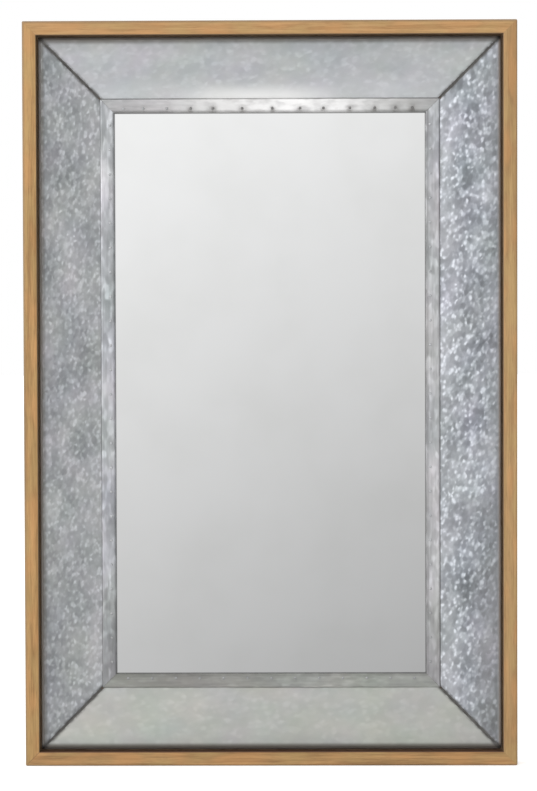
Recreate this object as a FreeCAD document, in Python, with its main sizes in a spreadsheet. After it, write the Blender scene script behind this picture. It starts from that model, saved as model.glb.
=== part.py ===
import FreeCAD, Part
import math
import os
import Sketcher

os.makedirs("parts", exist_ok=True)
doc = FreeCAD.newDocument("mirror")
Vector = FreeCAD.Vector

# Driving sizes in millimetres
SIZES = {
    # Whole mirror, standing upright on its bottom rail
    "overall_width": 813,
    "overall_height": 1228,
    # Solid wood outer rails
    "rail_width": 23,
    "rail_edge_radius": 1.2,
    "frame_corner_radius": 3,
    # Galvanized panels, which fall from the rails towards the glass
    "shadow_gap": 2.8,
    "bevel_reach": 102.5,
    "bevel_start": 8,
    "bevel_drop": 22,
    "sheet_thickness": 0.6,
    "panel_fold": 12,
    "panel_bend": 7.2,
    "panel_seam": 1.8,
    "panel_clearance": 0.2,
    # Galvanized strips round the glass
    "strip_width": 23.5,
    "strip_gap": 1.2,
    "strip_bend": 2,
    "strip_shoulder": 0.5,
    "strip_seam": 0.3,
    "strip_clearance": 0.5,
    "lip_clearance": 0.3,
    # Wood core under the metal
    "board_thickness": 12,
    "ledger_width": 17,
    "batten_lap": 1.4,
    "batten_lip": 3.4,
    # Glass and what lies behind it
    "glass_thickness": 4,
    "glass_lap": 3.7,
    "glass_clearance": 0.8,
    "glass_edge_chamfer": 0.5,
    "filler_thickness": 5,
    "back_thickness": 3,
    "back_clearance": 0.5,
    "back_recess": 4,
    # Tacks through the strips
    "tack_inset": 7,
    "tack_head_radius": 2.2,
    "tack_head_height": 1,
    "tack_shank_radius": 0.7,
    "tack_length": 9,
    "tack_point": 2,
    "tack_rim_height": 0.3,
    # Pan head screws of the back panel and the hangers
    "pan_head_radius": 3,
    "pan_head_height": 2,
    "pan_shank_radius": 1.5,
    "pan_length": 13,
    "pan_point": 3,
    "pan_crown": 1,
    "ledger_screw_length": 30,
    "ledger_screw_from_back": 9,
    "back_screw_margin": 70,
    "ledger_screw_margin": 110,
    "screw_clearance": 0.1,
    "pilot_extra": 1,
    # Flat corner braces and their countersunk screws
    "brace_leg": 65,
    "brace_width": 16,
    "brace_thickness": 2,
    "brace_inset": 3.5,
    "brace_end_radius": 5,
    "brace_near_hole": 28,
    "brace_hole_from_end": 12.5,
    "flat_head_radius": 3.2,
    "flat_shank_radius": 1.75,
    "flat_length": 18,
    "flat_point": 3.5,
    # Strap hangers with loose rings
    "hanger_inset": 14.5,
    "hanger_drop": 300,
    "strap_width": 14,
    "strap_thickness": 1.2,
    "strap_length": 48,
    "strap_end_radius": 5,
    "strap_hole_spacing": 13,
    "strap_hole_from_end": 7,
    "wire_radius": 1.5,
    "wire_clearance": 0.1,
    "ring_side_clearance": 1.5,
    "ring_corner_radius": 4,
    "ring_side": 6,
    "ring_rest_clearance": 0.3,
    # Rubber wall bumpers
    "bumper_radius": 6.5,
    "bumper_tip_radius": 5.5,
    "bumper_height": 7,
    "bumper_edge_radius": 1,
    "bumper_gap": 15,
}
sheet = doc.addObject("Spreadsheet::Sheet", "Sizes")
for row, (alias, value) in enumerate(SIZES.items(), start=1):
    sheet.set(f"A{row}", str(value))
    sheet.setAlias(f"A{row}", alias)
doc.recompute()

# Hand-set tacks of the top strip, as shares of the opening's width from its left end
TOP_TACK_SHARES = (0.03, 0.094, 0.17, 0.247, 0.318, 0.412, 0.508, 0.597, 0.672, 0.757, 0.836, 0.902, 0.957)

# Stations across one side, counted inwards from the outer face of its rail
RAIL_INSIDE = "Sizes.rail_width"
PANEL_EDGE = "(Sizes.rail_width + Sizes.shadow_gap)"
PANEL_FOOT = "(Sizes.rail_width + Sizes.bevel_reach - Sizes.strip_gap / 2)"
STRIP_EDGE = "(Sizes.rail_width + Sizes.bevel_reach + Sizes.strip_gap / 2)"
SIGHT = "(Sizes.rail_width + Sizes.bevel_reach + Sizes.strip_width)"
BOARD_EDGE = f"({PANEL_EDGE} + Sizes.sheet_thickness + Sizes.panel_clearance)"
BATTEN_EDGE = f"({PANEL_FOOT} - Sizes.batten_lap)"
BATTEN_SHOULDER = f"({STRIP_EDGE} + Sizes.sheet_thickness + Sizes.strip_clearance)"
BATTEN_LIP = f"({SIGHT} - Sizes.sheet_thickness - Sizes.strip_clearance)"
GLASS_EDGE = f"({SIGHT} - Sizes.glass_lap)"
REBATE = f"({GLASS_EDGE} - Sizes.glass_clearance)"
LEDGER_INSIDE = "(Sizes.rail_width + Sizes.ledger_width)"
TACK_LINE = f"({SIGHT} - Sizes.tack_inset)"
OUTER_SCREW_LINE = "(Sizes.rail_width + Sizes.ledger_width / 2)"
INNER_SCREW_LINE = f"(({BATTEN_EDGE} + {REBATE}) / 2)"

# Depths, counted backwards from the front face of the rails
SLOPE = "(Sizes.bevel_drop / (Sizes.bevel_reach - Sizes.shadow_gap - Sizes.strip_gap / 2))"
STRETCH = f"sqrt(1 + {SLOPE} ^ 2)"
LAND = f"(Sizes.bevel_start + Sizes.bevel_drop + Sizes.sheet_thickness * {STRETCH})"
STRIP_BACK = f"({LAND} - Sizes.strip_bend - Sizes.strip_shoulder)"
STRIP_FACE = f"({STRIP_BACK} - Sizes.sheet_thickness)"
GLASS_FACE = f"({LAND} + Sizes.batten_lip)"
CORE_BACK = f"({GLASS_FACE} + Sizes.glass_thickness + Sizes.filler_thickness)"
PANEL_BACK = f"({CORE_BACK} + Sizes.back_thickness)"
LEDGER_SCREW_DEPTH = f"({CORE_BACK} - Sizes.ledger_screw_from_back)"
RAIL_BACK = f"({PANEL_BACK} + Sizes.back_recess)"


def panel_face(station):
    """Depth of the front of the sloping panel."""
    return f"(Sizes.bevel_start + {SLOPE} * ({station} - {PANEL_EDGE}))"


def panel_underside(station):
    """Depth of the back of the panel, which is the front of the bevel board."""
    return f"({panel_face(station)} + Sizes.sheet_thickness * {STRETCH})"


def board_underside(station):
    """Depth of the back of the bevel board, which is the front of the ledger."""
    return f"({panel_underside(station)} + Sizes.board_thickness * {STRETCH})"


def from_middle(depth):
    """Turn a depth into a position front to back, where zero is the middle of the rail."""
    return f"({depth} - {RAIL_BACK} / 2)"


def number(expression):
    return float(sheet.evalExpression(expression))


# The four sides: each is drawn as a bottom side, turned into its place and given its fasteners
SIDES = {
    "bottom": {
        "length": "Sizes.overall_width",
        "turn": 0,
        "base": ("0", "0", "0"),
        "tack_count": 13,
        "ledger_screw_count": 3,
        "outer_screw_count": 4,
        "inner_screw_count": 3,
    },
    "top": {
        "length": "Sizes.overall_width",
        "turn": 180,
        "base": ("0", "0", "Sizes.overall_height"),
        "ledger_screw_count": 3,
        "outer_screw_count": 4,
        "inner_screw_count": 3,
    },
    "left": {
        "length": "Sizes.overall_height",
        "turn": 90,
        "base": ("-Sizes.overall_width / 2", "0", "Sizes.overall_height / 2"),
        "tack_count": 23,
        "ledger_screw_count": 4,
        "outer_screw_count": 6,
        "inner_screw_count": 5,
    },
    "right": {
        "length": "Sizes.overall_height",
        "turn": -90,
        "base": ("Sizes.overall_width / 2", "0", "Sizes.overall_height / 2"),
        "tack_count": 23,
        "ledger_screw_count": 4,
        "outer_screw_count": 6,
        "inner_screw_count": 5,
    },
}


def bind_base(item, base):
    for axis, expression in zip("xyz", base):
        item.setExpression(f"Placement.Base.{axis}", expression)


def side_placement(side):
    base = Vector(*[number(expression) for expression in SIDES[side]["base"]])
    turn = FreeCAD.Rotation(Vector(0, 1, 0), SIDES[side]["turn"])
    return FreeCAD.Placement(base, turn)


def even_shares(count):
    """Middles of equal lengths, as shares of a whole length."""
    return [(index + 0.5) / count for index in range(count)]


def along(length, shares):
    """Positions along a side, measured from its middle."""
    return [f"({length}) * ({share} - 0.5)" for share in shares]


def tack_positions(side):
    length = f"({SIDES[side]['length']} - 2 * {SIGHT})"
    if side == "top":
        return along(length, [1 - share for share in TOP_TACK_SHARES])
    return along(length, even_shares(SIDES[side]["tack_count"]))


def screw_positions(side, kind, margin):
    count = SIDES[side][f"{kind}_screw_count"]
    length = f"({SIDES[side]['length']} - 2 * {margin})"
    return along(length, [index / (count - 1) for index in range(count)])


def ledger_screw_positions(side):
    return screw_positions(side, "ledger", "Sizes.ledger_screw_margin")


def outer_screw_positions(side):
    return screw_positions(side, "outer", "Sizes.back_screw_margin")


def inner_screw_positions(side):
    length = f"({SIDES[side]['length']} - 2 * {REBATE})"
    return along(length, even_shares(SIDES[side]["inner_screw_count"]))


# Sketch helpers: every point and radius is tied to the sheet
def new_body(label):
    body = doc.addObject("PartDesign::Body", label)
    body.Label = label
    return body


def new_sketch(body, name, role, offset=None):
    sketch = body.newObject("Sketcher::SketchObject", f"{body.Label}_{name}")
    plane = [feature for feature in body.Origin.OriginFeatures if feature.Role == role][0]
    sketch.AttachmentSupport = [(plane, "")]
    sketch.MapMode = "FlatFace"
    if offset is not None:
        sketch.setExpression("AttachmentOffset.Base.z", offset)
    return sketch


def tie(sketch, kind, geometry, point, expression):
    index = sketch.addConstraint(Sketcher.Constraint(kind, -1, 1, geometry, point, number(expression)))
    sketch.setExpression(f"Constraints[{index}]", expression)


def tie_point(sketch, geometry, point, position):
    tie(sketch, "DistanceX", geometry, point, position[0])
    tie(sketch, "DistanceY", geometry, point, position[1])


def tie_radius(sketch, geometry, expression):
    index = sketch.addConstraint(Sketcher.Constraint("Radius", geometry, number(expression)))
    sketch.setExpression(f"Constraints[{index}]", expression)


def draw_outline(sketch, corners):
    first = sketch.GeometryCount
    count = len(corners)
    points = [Vector(number(corner[0]), number(corner[1]), 0) for corner in corners]
    for index in range(count):
        sketch.addGeometry(Part.LineSegment(points[index], points[(index + 1) % count]))
    for index in range(count):
        following = first + (index + 1) % count
        sketch.addConstraint(Sketcher.Constraint("Coincident", first + index, 2, following, 1))
        tie_point(sketch, first + index, 1, corners[index])


def draw_circles(sketch, centres, radius):
    for centre in centres:
        middle = Vector(number(centre[0]), number(centre[1]), 0)
        geometry = sketch.addGeometry(Part.Circle(middle, Vector(0, 0, 1), number(radius)))
        tie_point(sketch, geometry, 3, centre)
        tie_radius(sketch, geometry, radius)


def pad(body, name, sketch, length, side_type="Symmetric"):
    feature = body.newObject("PartDesign::Pad", f"{body.Label}_{name}")
    feature.Profile = sketch
    feature.SideType = side_type
    feature.setExpression("Length", length)
    return feature


def cut_through(body, name, sketch):
    feature = body.newObject("PartDesign::Pocket", f"{body.Label}_{name}")
    feature.Profile = sketch
    feature.SideType = "Symmetric"
    feature.Type = "ThroughAll"
    return feature


def drill(body, name, role, offset, centres, radius, depth, along_normal):
    """Blind holes from a plane, cut along its normal or against it."""
    sketch = new_sketch(body, f"{name}_sketch", role, offset)
    draw_circles(sketch, centres, radius)
    feature = body.newObject("PartDesign::Pocket", f"{body.Label}_{name}")
    feature.Profile = sketch
    feature.Reversed = along_normal
    feature.setExpression("Length", depth)
    return feature


def round_edges(body, name, wanted, radius, kind="PartDesign::Fillet", size="Radius"):
    """Round or bevel the edges of the body so far that the test picks out."""
    doc.recompute()
    base = body.Tip
    edges = base.Shape.Edges
    names = [f"Edge{index}" for index, edge in enumerate(edges, start=1) if wanted(edge)]
    feature = body.newObject(kind, f"{body.Label}_{name}")
    feature.Base = (base, names)
    feature.setExpression(size, radius)
    return feature


SAME = 1e-4


def runs_along(edge):
    """True for the long edges of a mitred piece."""
    first, last = edge.Vertexes[0].Point, edge.Vertexes[-1].Point
    return abs(first.y - last.y) < SAME and abs(first.z - last.z) < SAME


def long_edge_at(depth, station):
    place = Vector(0, number(from_middle(depth)), number(station))

    def wanted(edge):
        point = edge.Vertexes[0].Point
        return runs_along(edge) and abs(point.y - place.y) < SAME and abs(point.z - place.z) < SAME

    return wanted


def outer_end_of(length):
    def wanted(edge):
        return all(abs(abs(vertex.X) - number(length) / 2) < SAME and abs(vertex.Z) < SAME
                   for vertex in edge.Vertexes)

    return wanted


def mitred_piece(name, side, corners, seam, outer_corner=None):
    """A straight piece with the given section of (depth, station) corners and two mitred ends."""
    body = new_body(f"{name}_{side}")
    length = SIDES[side]["length"]
    section = new_sketch(body, "section", "YZ_Plane")
    draw_outline(section, [(from_middle(depth), station) for depth, station in corners])
    pad(body, "length", section, length)
    if outer_corner is not None:
        round_edges(body, "outer_corners", outer_end_of(length), outer_corner)
    ends = new_sketch(body, "mitres", "XZ_Plane")
    reach = f"({SIGHT} + Sizes.rail_width)"
    tip = f"({length} / 2 - {seam} / sqrt(2))"
    for sign in ("", "-"):
        draw_outline(ends, [
            (f"{sign}{tip}", "0"),
            (f"{sign}({tip} - {reach})", reach),
            (f"{sign}({tip} + {reach})", reach),
        ])
    cut_through(body, "mitre_cuts", ends)
    body.Placement = FreeCAD.Placement(Vector(), FreeCAD.Rotation(Vector(0, 1, 0), SIDES[side]["turn"]))
    bind_base(body, SIDES[side]["base"])
    return body


parts = []
PILOT_RADIUS = "(Sizes.pan_shank_radius + Sizes.screw_clearance)"
PILOT_DEPTH = "(Sizes.pan_length + Sizes.pilot_extra)"
FLAT_PILOT_RADIUS = "(Sizes.flat_shank_radius + Sizes.screw_clearance)"
FLAT_PILOT_DEPTH = "(Sizes.flat_length + Sizes.pilot_extra)"
BRACE_LINE = "(Sizes.brace_inset + Sizes.brace_width / 2)"
BRACE_END = "(Sizes.brace_inset + Sizes.brace_leg)"
BRACE_HOLES = ("Sizes.brace_near_hole", f"({BRACE_END} - Sizes.brace_hole_from_end)")
STRAP_FAR_HOLE = "(Sizes.strap_length - Sizes.strap_hole_from_end)"
STRAP_HOLES = (f"({STRAP_FAR_HOLE} - Sizes.strap_hole_spacing)", STRAP_FAR_HOLE)
HANGER_SIGN = {"left": "", "right": "-"}


def hanger_hole_along(side, hole):
    """Position of a hanger hole along a side rail, measured from the rail's middle."""
    drop = f"(Sizes.hanger_drop + {hole} - Sizes.overall_height / 2)"
    return f"{HANGER_SIGN[side]}{drop}"


# Outer rails: solid wood with eased long edges, glued at the mitres
for side in SIDES:
    rail = mitred_piece("outer_rail", side, [
        ("0", "0"),
        (RAIL_BACK, "0"),
        (RAIL_BACK, RAIL_INSIDE),
        ("0", RAIL_INSIDE),
    ], "0", "Sizes.frame_corner_radius")
    round_edges(rail, "eased_edges", runs_along, "Sizes.rail_edge_radius")
    back_plane = f"-{from_middle(RAIL_BACK)}"
    length = SIDES[side]["length"]
    brace_centres = [
        (f"{sign}({length} / 2 - {hole})", BRACE_LINE) for sign in ("", "-") for hole in BRACE_HOLES
    ]
    drill(rail, "brace_pilots", "XZ_Plane", back_plane, brace_centres,
          FLAT_PILOT_RADIUS, FLAT_PILOT_DEPTH, True)
    ledger_centres = [
        (position, from_middle(LEDGER_SCREW_DEPTH))
        for position in ledger_screw_positions(side)
    ]
    ledger_pilot = "(Sizes.ledger_screw_length - Sizes.ledger_width + Sizes.pilot_extra)"
    drill(rail, "ledger_pilots", "XY_Plane", RAIL_INSIDE, ledger_centres, PILOT_RADIUS, ledger_pilot, False)
    if side in HANGER_SIGN:
        strap_centres = [(hanger_hole_along(side, hole), "Sizes.hanger_inset") for hole in STRAP_HOLES]
        drill(rail, "hanger_pilots", "XZ_Plane", back_plane, strap_centres, PILOT_RADIUS, PILOT_DEPTH, True)
    parts.append(rail)

# Ledgers: bevelled strips screwed to the rails, which carry the outer edge of the boards
for side in SIDES:
    ledger = mitred_piece("ledger", side, [
        (board_underside(RAIL_INSIDE), RAIL_INSIDE),
        (CORE_BACK, RAIL_INSIDE),
        (CORE_BACK, LEDGER_INSIDE),
        (board_underside(LEDGER_INSIDE), LEDGER_INSIDE),
    ], "0")
    rail_centres = [
        (position, from_middle(LEDGER_SCREW_DEPTH))
        for position in ledger_screw_positions(side)
    ]
    drill(ledger, "rail_screw_holes", "XY_Plane", RAIL_INSIDE, rail_centres,
          PILOT_RADIUS, "Sizes.ledger_width", True)
    back_centres = [(position, OUTER_SCREW_LINE) for position in outer_screw_positions(side)]
    drill(ledger, "back_screw_pilots", "XZ_Plane", f"-{from_middle(CORE_BACK)}", back_centres,
          PILOT_RADIUS, f"({PILOT_DEPTH} - Sizes.back_thickness)", True)
    parts.append(ledger)

# Bevel boards: they lie on the ledgers, butt against the battens and back the panels
for side in SIDES:
    board = mitred_piece("bevel_board", side, [
        (panel_underside(BOARD_EDGE), BOARD_EDGE),
        (board_underside(BOARD_EDGE), BOARD_EDGE),
        (board_underside(BATTEN_EDGE), BATTEN_EDGE),
        (panel_underside(BATTEN_EDGE), BATTEN_EDGE),
    ], "0")
    nose = long_edge_at(panel_underside(BOARD_EDGE), BOARD_EDGE)
    round_edges(board, "nose", nose, "Sizes.panel_bend + 2 * Sizes.panel_clearance")
    parts.append(board)

# Inner battens: a rebated frame that holds the glass, with a raised front that takes the tacks
for side in SIDES:
    batten = mitred_piece("inner_batten", side, [
        (LAND, BATTEN_EDGE),
        (CORE_BACK, BATTEN_EDGE),
        (CORE_BACK, REBATE),
        (GLASS_FACE, REBATE),
        (GLASS_FACE, BATTEN_LIP),
        (STRIP_BACK, BATTEN_LIP),
        (STRIP_BACK, BATTEN_SHOULDER),
        (LAND, BATTEN_SHOULDER),
    ], "0")
    round_edges(batten, "inner_nose", long_edge_at(STRIP_BACK, BATTEN_LIP), "Sizes.strip_bend")
    round_edges(batten, "outer_nose", long_edge_at(STRIP_BACK, BATTEN_SHOULDER), "Sizes.strip_bend")
    tack_centres = [(position, TACK_LINE) for position in tack_positions(side)]
    drill(batten, "tack_holes", "XZ_Plane", f"-{from_middle(STRIP_BACK)}", tack_centres,
          "(Sizes.tack_shank_radius + Sizes.screw_clearance)", "Sizes.tack_length", False)
    back_centres = [(position, INNER_SCREW_LINE) for position in inner_screw_positions(side)]
    drill(batten, "back_screw_pilots", "XZ_Plane", f"-{from_middle(CORE_BACK)}", back_centres,
          PILOT_RADIUS, f"({PILOT_DEPTH} - Sizes.back_thickness)", True)
    parts.append(batten)

# Galvanized panels: sloping sheets with the outer edge folded down into the shadow gap
for side in SIDES:
    lip_inside = f"({PANEL_EDGE} + Sizes.sheet_thickness)"
    fold_end = "(Sizes.bevel_start + Sizes.panel_fold)"
    panel = mitred_piece("galvanized_panel", side, [
        (panel_face(PANEL_EDGE), PANEL_EDGE),
        (fold_end, PANEL_EDGE),
        (fold_end, lip_inside),
        (panel_underside(lip_inside), lip_inside),
        (panel_underside(PANEL_FOOT), PANEL_FOOT),
        (panel_face(PANEL_FOOT), PANEL_FOOT),
    ], "Sizes.panel_seam")
    outer_bend = long_edge_at(panel_face(PANEL_EDGE), PANEL_EDGE)
    inner_bend = long_edge_at(panel_underside(lip_inside), lip_inside)
    round_edges(panel, "inner_bend", inner_bend, "Sizes.panel_bend")
    round_edges(panel, "outer_bend", outer_bend, "Sizes.panel_bend + Sizes.sheet_thickness")
    parts.append(panel)

# Sight strips: sheet caps over the battens, with one edge rolled back to the panel and one to the glass
for side in SIDES:
    outer_inside = f"({STRIP_EDGE} + Sizes.sheet_thickness)"
    outer_end = f"({LAND} - Sizes.lip_clearance)"
    inner_inside = f"({SIGHT} - Sizes.sheet_thickness)"
    inner_end = f"({GLASS_FACE} - Sizes.lip_clearance)"
    strip = mitred_piece("sight_strip", side, [
        (STRIP_FACE, STRIP_EDGE),
        (outer_end, STRIP_EDGE),
        (outer_end, outer_inside),
        (STRIP_BACK, outer_inside),
        (STRIP_BACK, inner_inside),
        (inner_end, inner_inside),
        (inner_end, SIGHT),
        (STRIP_FACE, SIGHT),
    ], "Sizes.strip_seam")
    for edge, inside, face in (("outer", outer_inside, STRIP_EDGE), ("inner", inner_inside, SIGHT)):
        under_bend = long_edge_at(STRIP_BACK, inside)
        over_bend = long_edge_at(STRIP_FACE, face)
        round_edges(strip, f"{edge}_edge_under", under_bend, "Sizes.strip_bend")
        round_edges(strip, f"{edge}_edge_over", over_bend, "Sizes.strip_bend + Sizes.sheet_thickness")
    tack_centres = [(position, TACK_LINE) for position in tack_positions(side)]
    drill(strip, "tack_holes", "XZ_Plane", f"-{from_middle(STRIP_FACE)}", tack_centres,
          "(Sizes.tack_shank_radius + Sizes.screw_clearance)", "2 * Sizes.sheet_thickness", False)
    parts.append(strip)


def upright_sheet(label, inset, front, thickness):
    """A flat sheet across the mirror, set in from its outline, with its front at a depth."""
    body = new_body(label)
    half_width = f"(Sizes.overall_width / 2 - {inset})"
    face = new_sketch(body, "face", "XZ_Plane", f"-{from_middle(front)}")
    draw_outline(face, [
        (f"-{half_width}", inset),
        (half_width, inset),
        (half_width, f"(Sizes.overall_height - {inset})"),
        (f"-{half_width}", f"(Sizes.overall_height - {inset})"),
    ])
    feature = pad(body, "sheet", face, thickness, "One side")
    feature.Reversed = True
    return body


# Silvered glass with seamed edges, in the rebate of the battens
glass = upright_sheet("mirror_glass", GLASS_EDGE, GLASS_FACE, "Sizes.glass_thickness")
glass_planes = (number(from_middle(GLASS_FACE)), number(f"{from_middle(GLASS_FACE)} + Sizes.glass_thickness"))


def on_glass_face(edge):
    depths = [vertex.Point.y for vertex in edge.Vertexes]
    return any(max(abs(depth - plane) for depth in depths) < SAME for plane in glass_planes)


round_edges(glass, "seamed_edges", on_glass_face, "Sizes.glass_edge_chamfer", "PartDesign::Chamfer", "Size")
parts.append(glass)

# Card filler between the glass and the back panel
filler_front = f"({GLASS_FACE} + Sizes.glass_thickness)"
parts.append(upright_sheet("filler_card", GLASS_EDGE, filler_front, "Sizes.filler_thickness"))

# Back panel: one sheet between the rails, screwed to the ledgers and the battens
back_inset = "(Sizes.rail_width + Sizes.back_clearance)"
back = upright_sheet("back_panel", back_inset, CORE_BACK, "Sizes.back_thickness")
WORLD_OF_SIDE = {
    "bottom": lambda run, station: (run, station),
    "top": lambda run, station: (f"-({run})", f"(Sizes.overall_height - {station})"),
    "left": lambda run, station: (
        f"({station} - Sizes.overall_width / 2)", f"(Sizes.overall_height / 2 - ({run}))"),
    "right": lambda run, station: (
        f"(Sizes.overall_width / 2 - {station})", f"(Sizes.overall_height / 2 + ({run}))"),
}
back_screw_centres = []
for side in SIDES:
    for position in outer_screw_positions(side):
        back_screw_centres.append(WORLD_OF_SIDE[side](position, OUTER_SCREW_LINE))
    for position in inner_screw_positions(side):
        back_screw_centres.append(WORLD_OF_SIDE[side](position, INNER_SCREW_LINE))
back_holes = new_sketch(back, "screw_holes", "XZ_Plane")
draw_circles(back_holes, back_screw_centres, PILOT_RADIUS)
cut_through(back, "screw_hole_cuts", back_holes)
parts.append(back)

# Corner braces: flat steel angles across the back of the mitres, with countersunk holes
CORNERS = {
    "bottom_left": ("-Sizes.overall_width / 2", "0", 0),
    "top_left": ("-Sizes.overall_width / 2", "Sizes.overall_height", 90),
    "top_right": ("Sizes.overall_width / 2", "Sizes.overall_height", 180),
    "bottom_right": ("Sizes.overall_width / 2", "0", 270),
}
for corner, (across, up, turn) in CORNERS.items():
    brace = new_body(f"corner_brace_{corner}")
    start = "Sizes.brace_inset"
    inside = "(Sizes.brace_inset + Sizes.brace_width)"
    plan = new_sketch(brace, "plan", "XZ_Plane")
    draw_outline(plan, [
        (start, start),
        (BRACE_END, start),
        (BRACE_END, inside),
        (inside, inside),
        (inside, BRACE_END),
        (start, BRACE_END),
    ])
    plate = pad(brace, "plate", plan, "Sizes.brace_thickness", "One side")
    plate.Reversed = True

    def at_leg_end(edge):
        """True for the short upright edges at the ends of the legs."""
        first, last = edge.Vertexes[0].Point, edge.Vertexes[-1].Point
        upright = abs(first.x - last.x) < SAME and abs(first.z - last.z) < SAME
        return upright and max(first.x, first.z) > number(BRACE_END) - SAME

    round_edges(brace, "leg_ends", at_leg_end, "Sizes.brace_end_radius")
    holes = new_sketch(brace, "holes", "XZ_Plane")
    centres = [(hole, BRACE_LINE) for hole in BRACE_HOLES] + [(BRACE_LINE, hole) for hole in BRACE_HOLES]
    draw_circles(holes, centres, FLAT_PILOT_RADIUS)
    cut_through(brace, "hole_cuts", holes)

    def on_hole_rim(edge):
        """True for the rear rims of the screw holes."""
        if not hasattr(edge.Curve, "Radius"):
            return False
        rear = abs(edge.Vertexes[0].Point.y - number("Sizes.brace_thickness")) < SAME
        return rear and abs(edge.Curve.Radius - number(FLAT_PILOT_RADIUS)) < SAME

    round_edges(brace, "countersinks", on_hole_rim, "Sizes.flat_head_radius - Sizes.flat_shank_radius",
                "PartDesign::Chamfer", "Size")
    brace.Placement = FreeCAD.Placement(Vector(), FreeCAD.Rotation(Vector(0, 1, 0), turn))
    bind_base(brace, (across, from_middle(RAIL_BACK), up))
    parts.append(brace)

# Strap hangers: a folded strap screwed to each side rail, with a loop round the ring's bar
LOOP_RADIUS = "(Sizes.wire_radius + Sizes.wire_clearance + Sizes.strap_thickness)"
HANGER_ACROSS = {
    "left": "(Sizes.hanger_inset - Sizes.overall_width / 2)",
    "right": "(Sizes.overall_width / 2 - Sizes.hanger_inset)",
}
HANGER_BEHIND = f"({from_middle(RAIL_BACK)} + {LOOP_RADIUS})"
HANGER_UP = "(Sizes.overall_height - Sizes.hanger_drop)"
for side, across in HANGER_ACROSS.items():
    strap = new_body(f"hanger_strap_{side}")
    plies = new_sketch(strap, "plies", "YZ_Plane")
    strap_face = f"(2 * Sizes.strap_thickness - {LOOP_RADIUS})"
    draw_outline(plies, [
        (f"-{LOOP_RADIUS}", "0"),
        (f"-{LOOP_RADIUS}", "-Sizes.strap_length"),
        (strap_face, "-Sizes.strap_length"),
        (strap_face, "0"),
    ])
    pad(strap, "plate", plies, "Sizes.strap_width")
    loop = new_sketch(strap, "loop", "YZ_Plane")
    draw_circles(loop, [("0", "0")], LOOP_RADIUS)
    pad(strap, "loop_pad", loop, "Sizes.strap_width")
    bore = new_sketch(strap, "bore", "YZ_Plane")
    draw_circles(bore, [("0", "0")], "(Sizes.wire_radius + Sizes.wire_clearance)")
    cut_through(strap, "bore_cut", bore)
    holes = new_sketch(strap, "holes", "XZ_Plane")
    draw_circles(holes, [("0", f"-{hole}") for hole in STRAP_HOLES], PILOT_RADIUS)
    cut_through(strap, "hole_cuts", holes)

    def at_strap_end(edge):
        """True for the short edges at the lower end of the strap."""
        first, last = edge.Vertexes[0].Point, edge.Vertexes[-1].Point
        level = abs(first.x - last.x) < SAME and abs(first.z - last.z) < SAME
        return level and abs(first.z + number("Sizes.strap_length")) < SAME

    round_edges(strap, "strap_end", at_strap_end, "Sizes.strap_end_radius")
    bind_base(strap, (across, HANGER_BEHIND, HANGER_UP))
    parts.append(strap)

# Rings: bent wire that turns in the strap's loop and leans on the frame when it points up
BAR_END = "(Sizes.strap_width / 2 + Sizes.ring_side_clearance)"
RING_HALF_WIDTH = f"({BAR_END} + Sizes.ring_corner_radius)"
RING_HEIGHT = f"(Sizes.ring_side + {RING_HALF_WIDTH})"
RING_LEAN = f"asin(({LOOP_RADIUS} - Sizes.wire_radius - Sizes.ring_rest_clearance) / {RING_HEIGHT})"
for side, across in HANGER_ACROSS.items():
    ring = new_body(f"hanger_ring_{side}")
    path = new_sketch(ring, "path", "XZ_Plane")
    stops = [
        ("0", "0"),
        (BAR_END, "0"),
        (RING_HALF_WIDTH, "Sizes.ring_corner_radius"),
        (RING_HALF_WIDTH, "Sizes.ring_side"),
        (f"-{RING_HALF_WIDTH}", "Sizes.ring_side"),
        (f"-{RING_HALF_WIDTH}", "Sizes.ring_corner_radius"),
        (f"-{BAR_END}", "0"),
    ]
    turns = {
        1: (BAR_END, "Sizes.ring_corner_radius", "Sizes.ring_corner_radius", -90),
        3: ("0", "Sizes.ring_side", RING_HALF_WIDTH, 0),
        5: (f"-{BAR_END}", "Sizes.ring_corner_radius", "Sizes.ring_corner_radius", 180),
    }
    for index, stop in enumerate(stops):
        following = stops[(index + 1) % len(stops)]
        if index in turns:
            centre_across, centre_up, radius, first_angle = turns[index]
            sweep = 180 if index == 3 else 90
            centre = Vector(number(centre_across), number(centre_up), 0)
            circle = Part.Circle(centre, Vector(0, 0, 1), number(radius))
            path.addGeometry(Part.ArcOfCircle(
                circle, math.radians(first_angle), math.radians(first_angle + sweep)))
            tie_point(path, index, 3, (centre_across, centre_up))
        else:
            start_point = Vector(number(stop[0]), number(stop[1]), 0)
            end_point = Vector(number(following[0]), number(following[1]), 0)
            path.addGeometry(Part.LineSegment(start_point, end_point))
            tie_point(path, index, 1, stop)
    for index in range(len(stops)):
        path.addConstraint(Sketcher.Constraint("Coincident", index, 2, (index + 1) % len(stops), 1))
    wire = new_sketch(ring, "wire", "YZ_Plane")
    draw_circles(wire, [("0", "0")], "Sizes.wire_radius")
    doc.recompute()
    bend = ring.newObject("PartDesign::AdditivePipe", f"{ring.Label}_bend")
    bend.Profile = wire
    bend.Spine = (path, [])
    ring.Placement = FreeCAD.Placement(Vector(), FreeCAD.Rotation(Vector(1, 0, 0), 1))
    ring.setExpression("Placement.Rotation.Angle", RING_LEAN)
    bind_base(ring, (across, HANGER_BEHIND, HANGER_UP))
    parts.append(ring)


def turned_piece(label, corners):
    """A round piece from a half section of (radius, height) corners, turned about the height."""
    body = new_body(label)
    half = new_sketch(body, "half", "XZ_Plane")
    draw_outline(half, corners)
    feature = body.newObject("PartDesign::Revolution", f"{label}_turn")
    feature.Profile = half
    feature.ReferenceAxis = (half, ["V_Axis"])
    feature.Angle = 360
    return body


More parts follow.
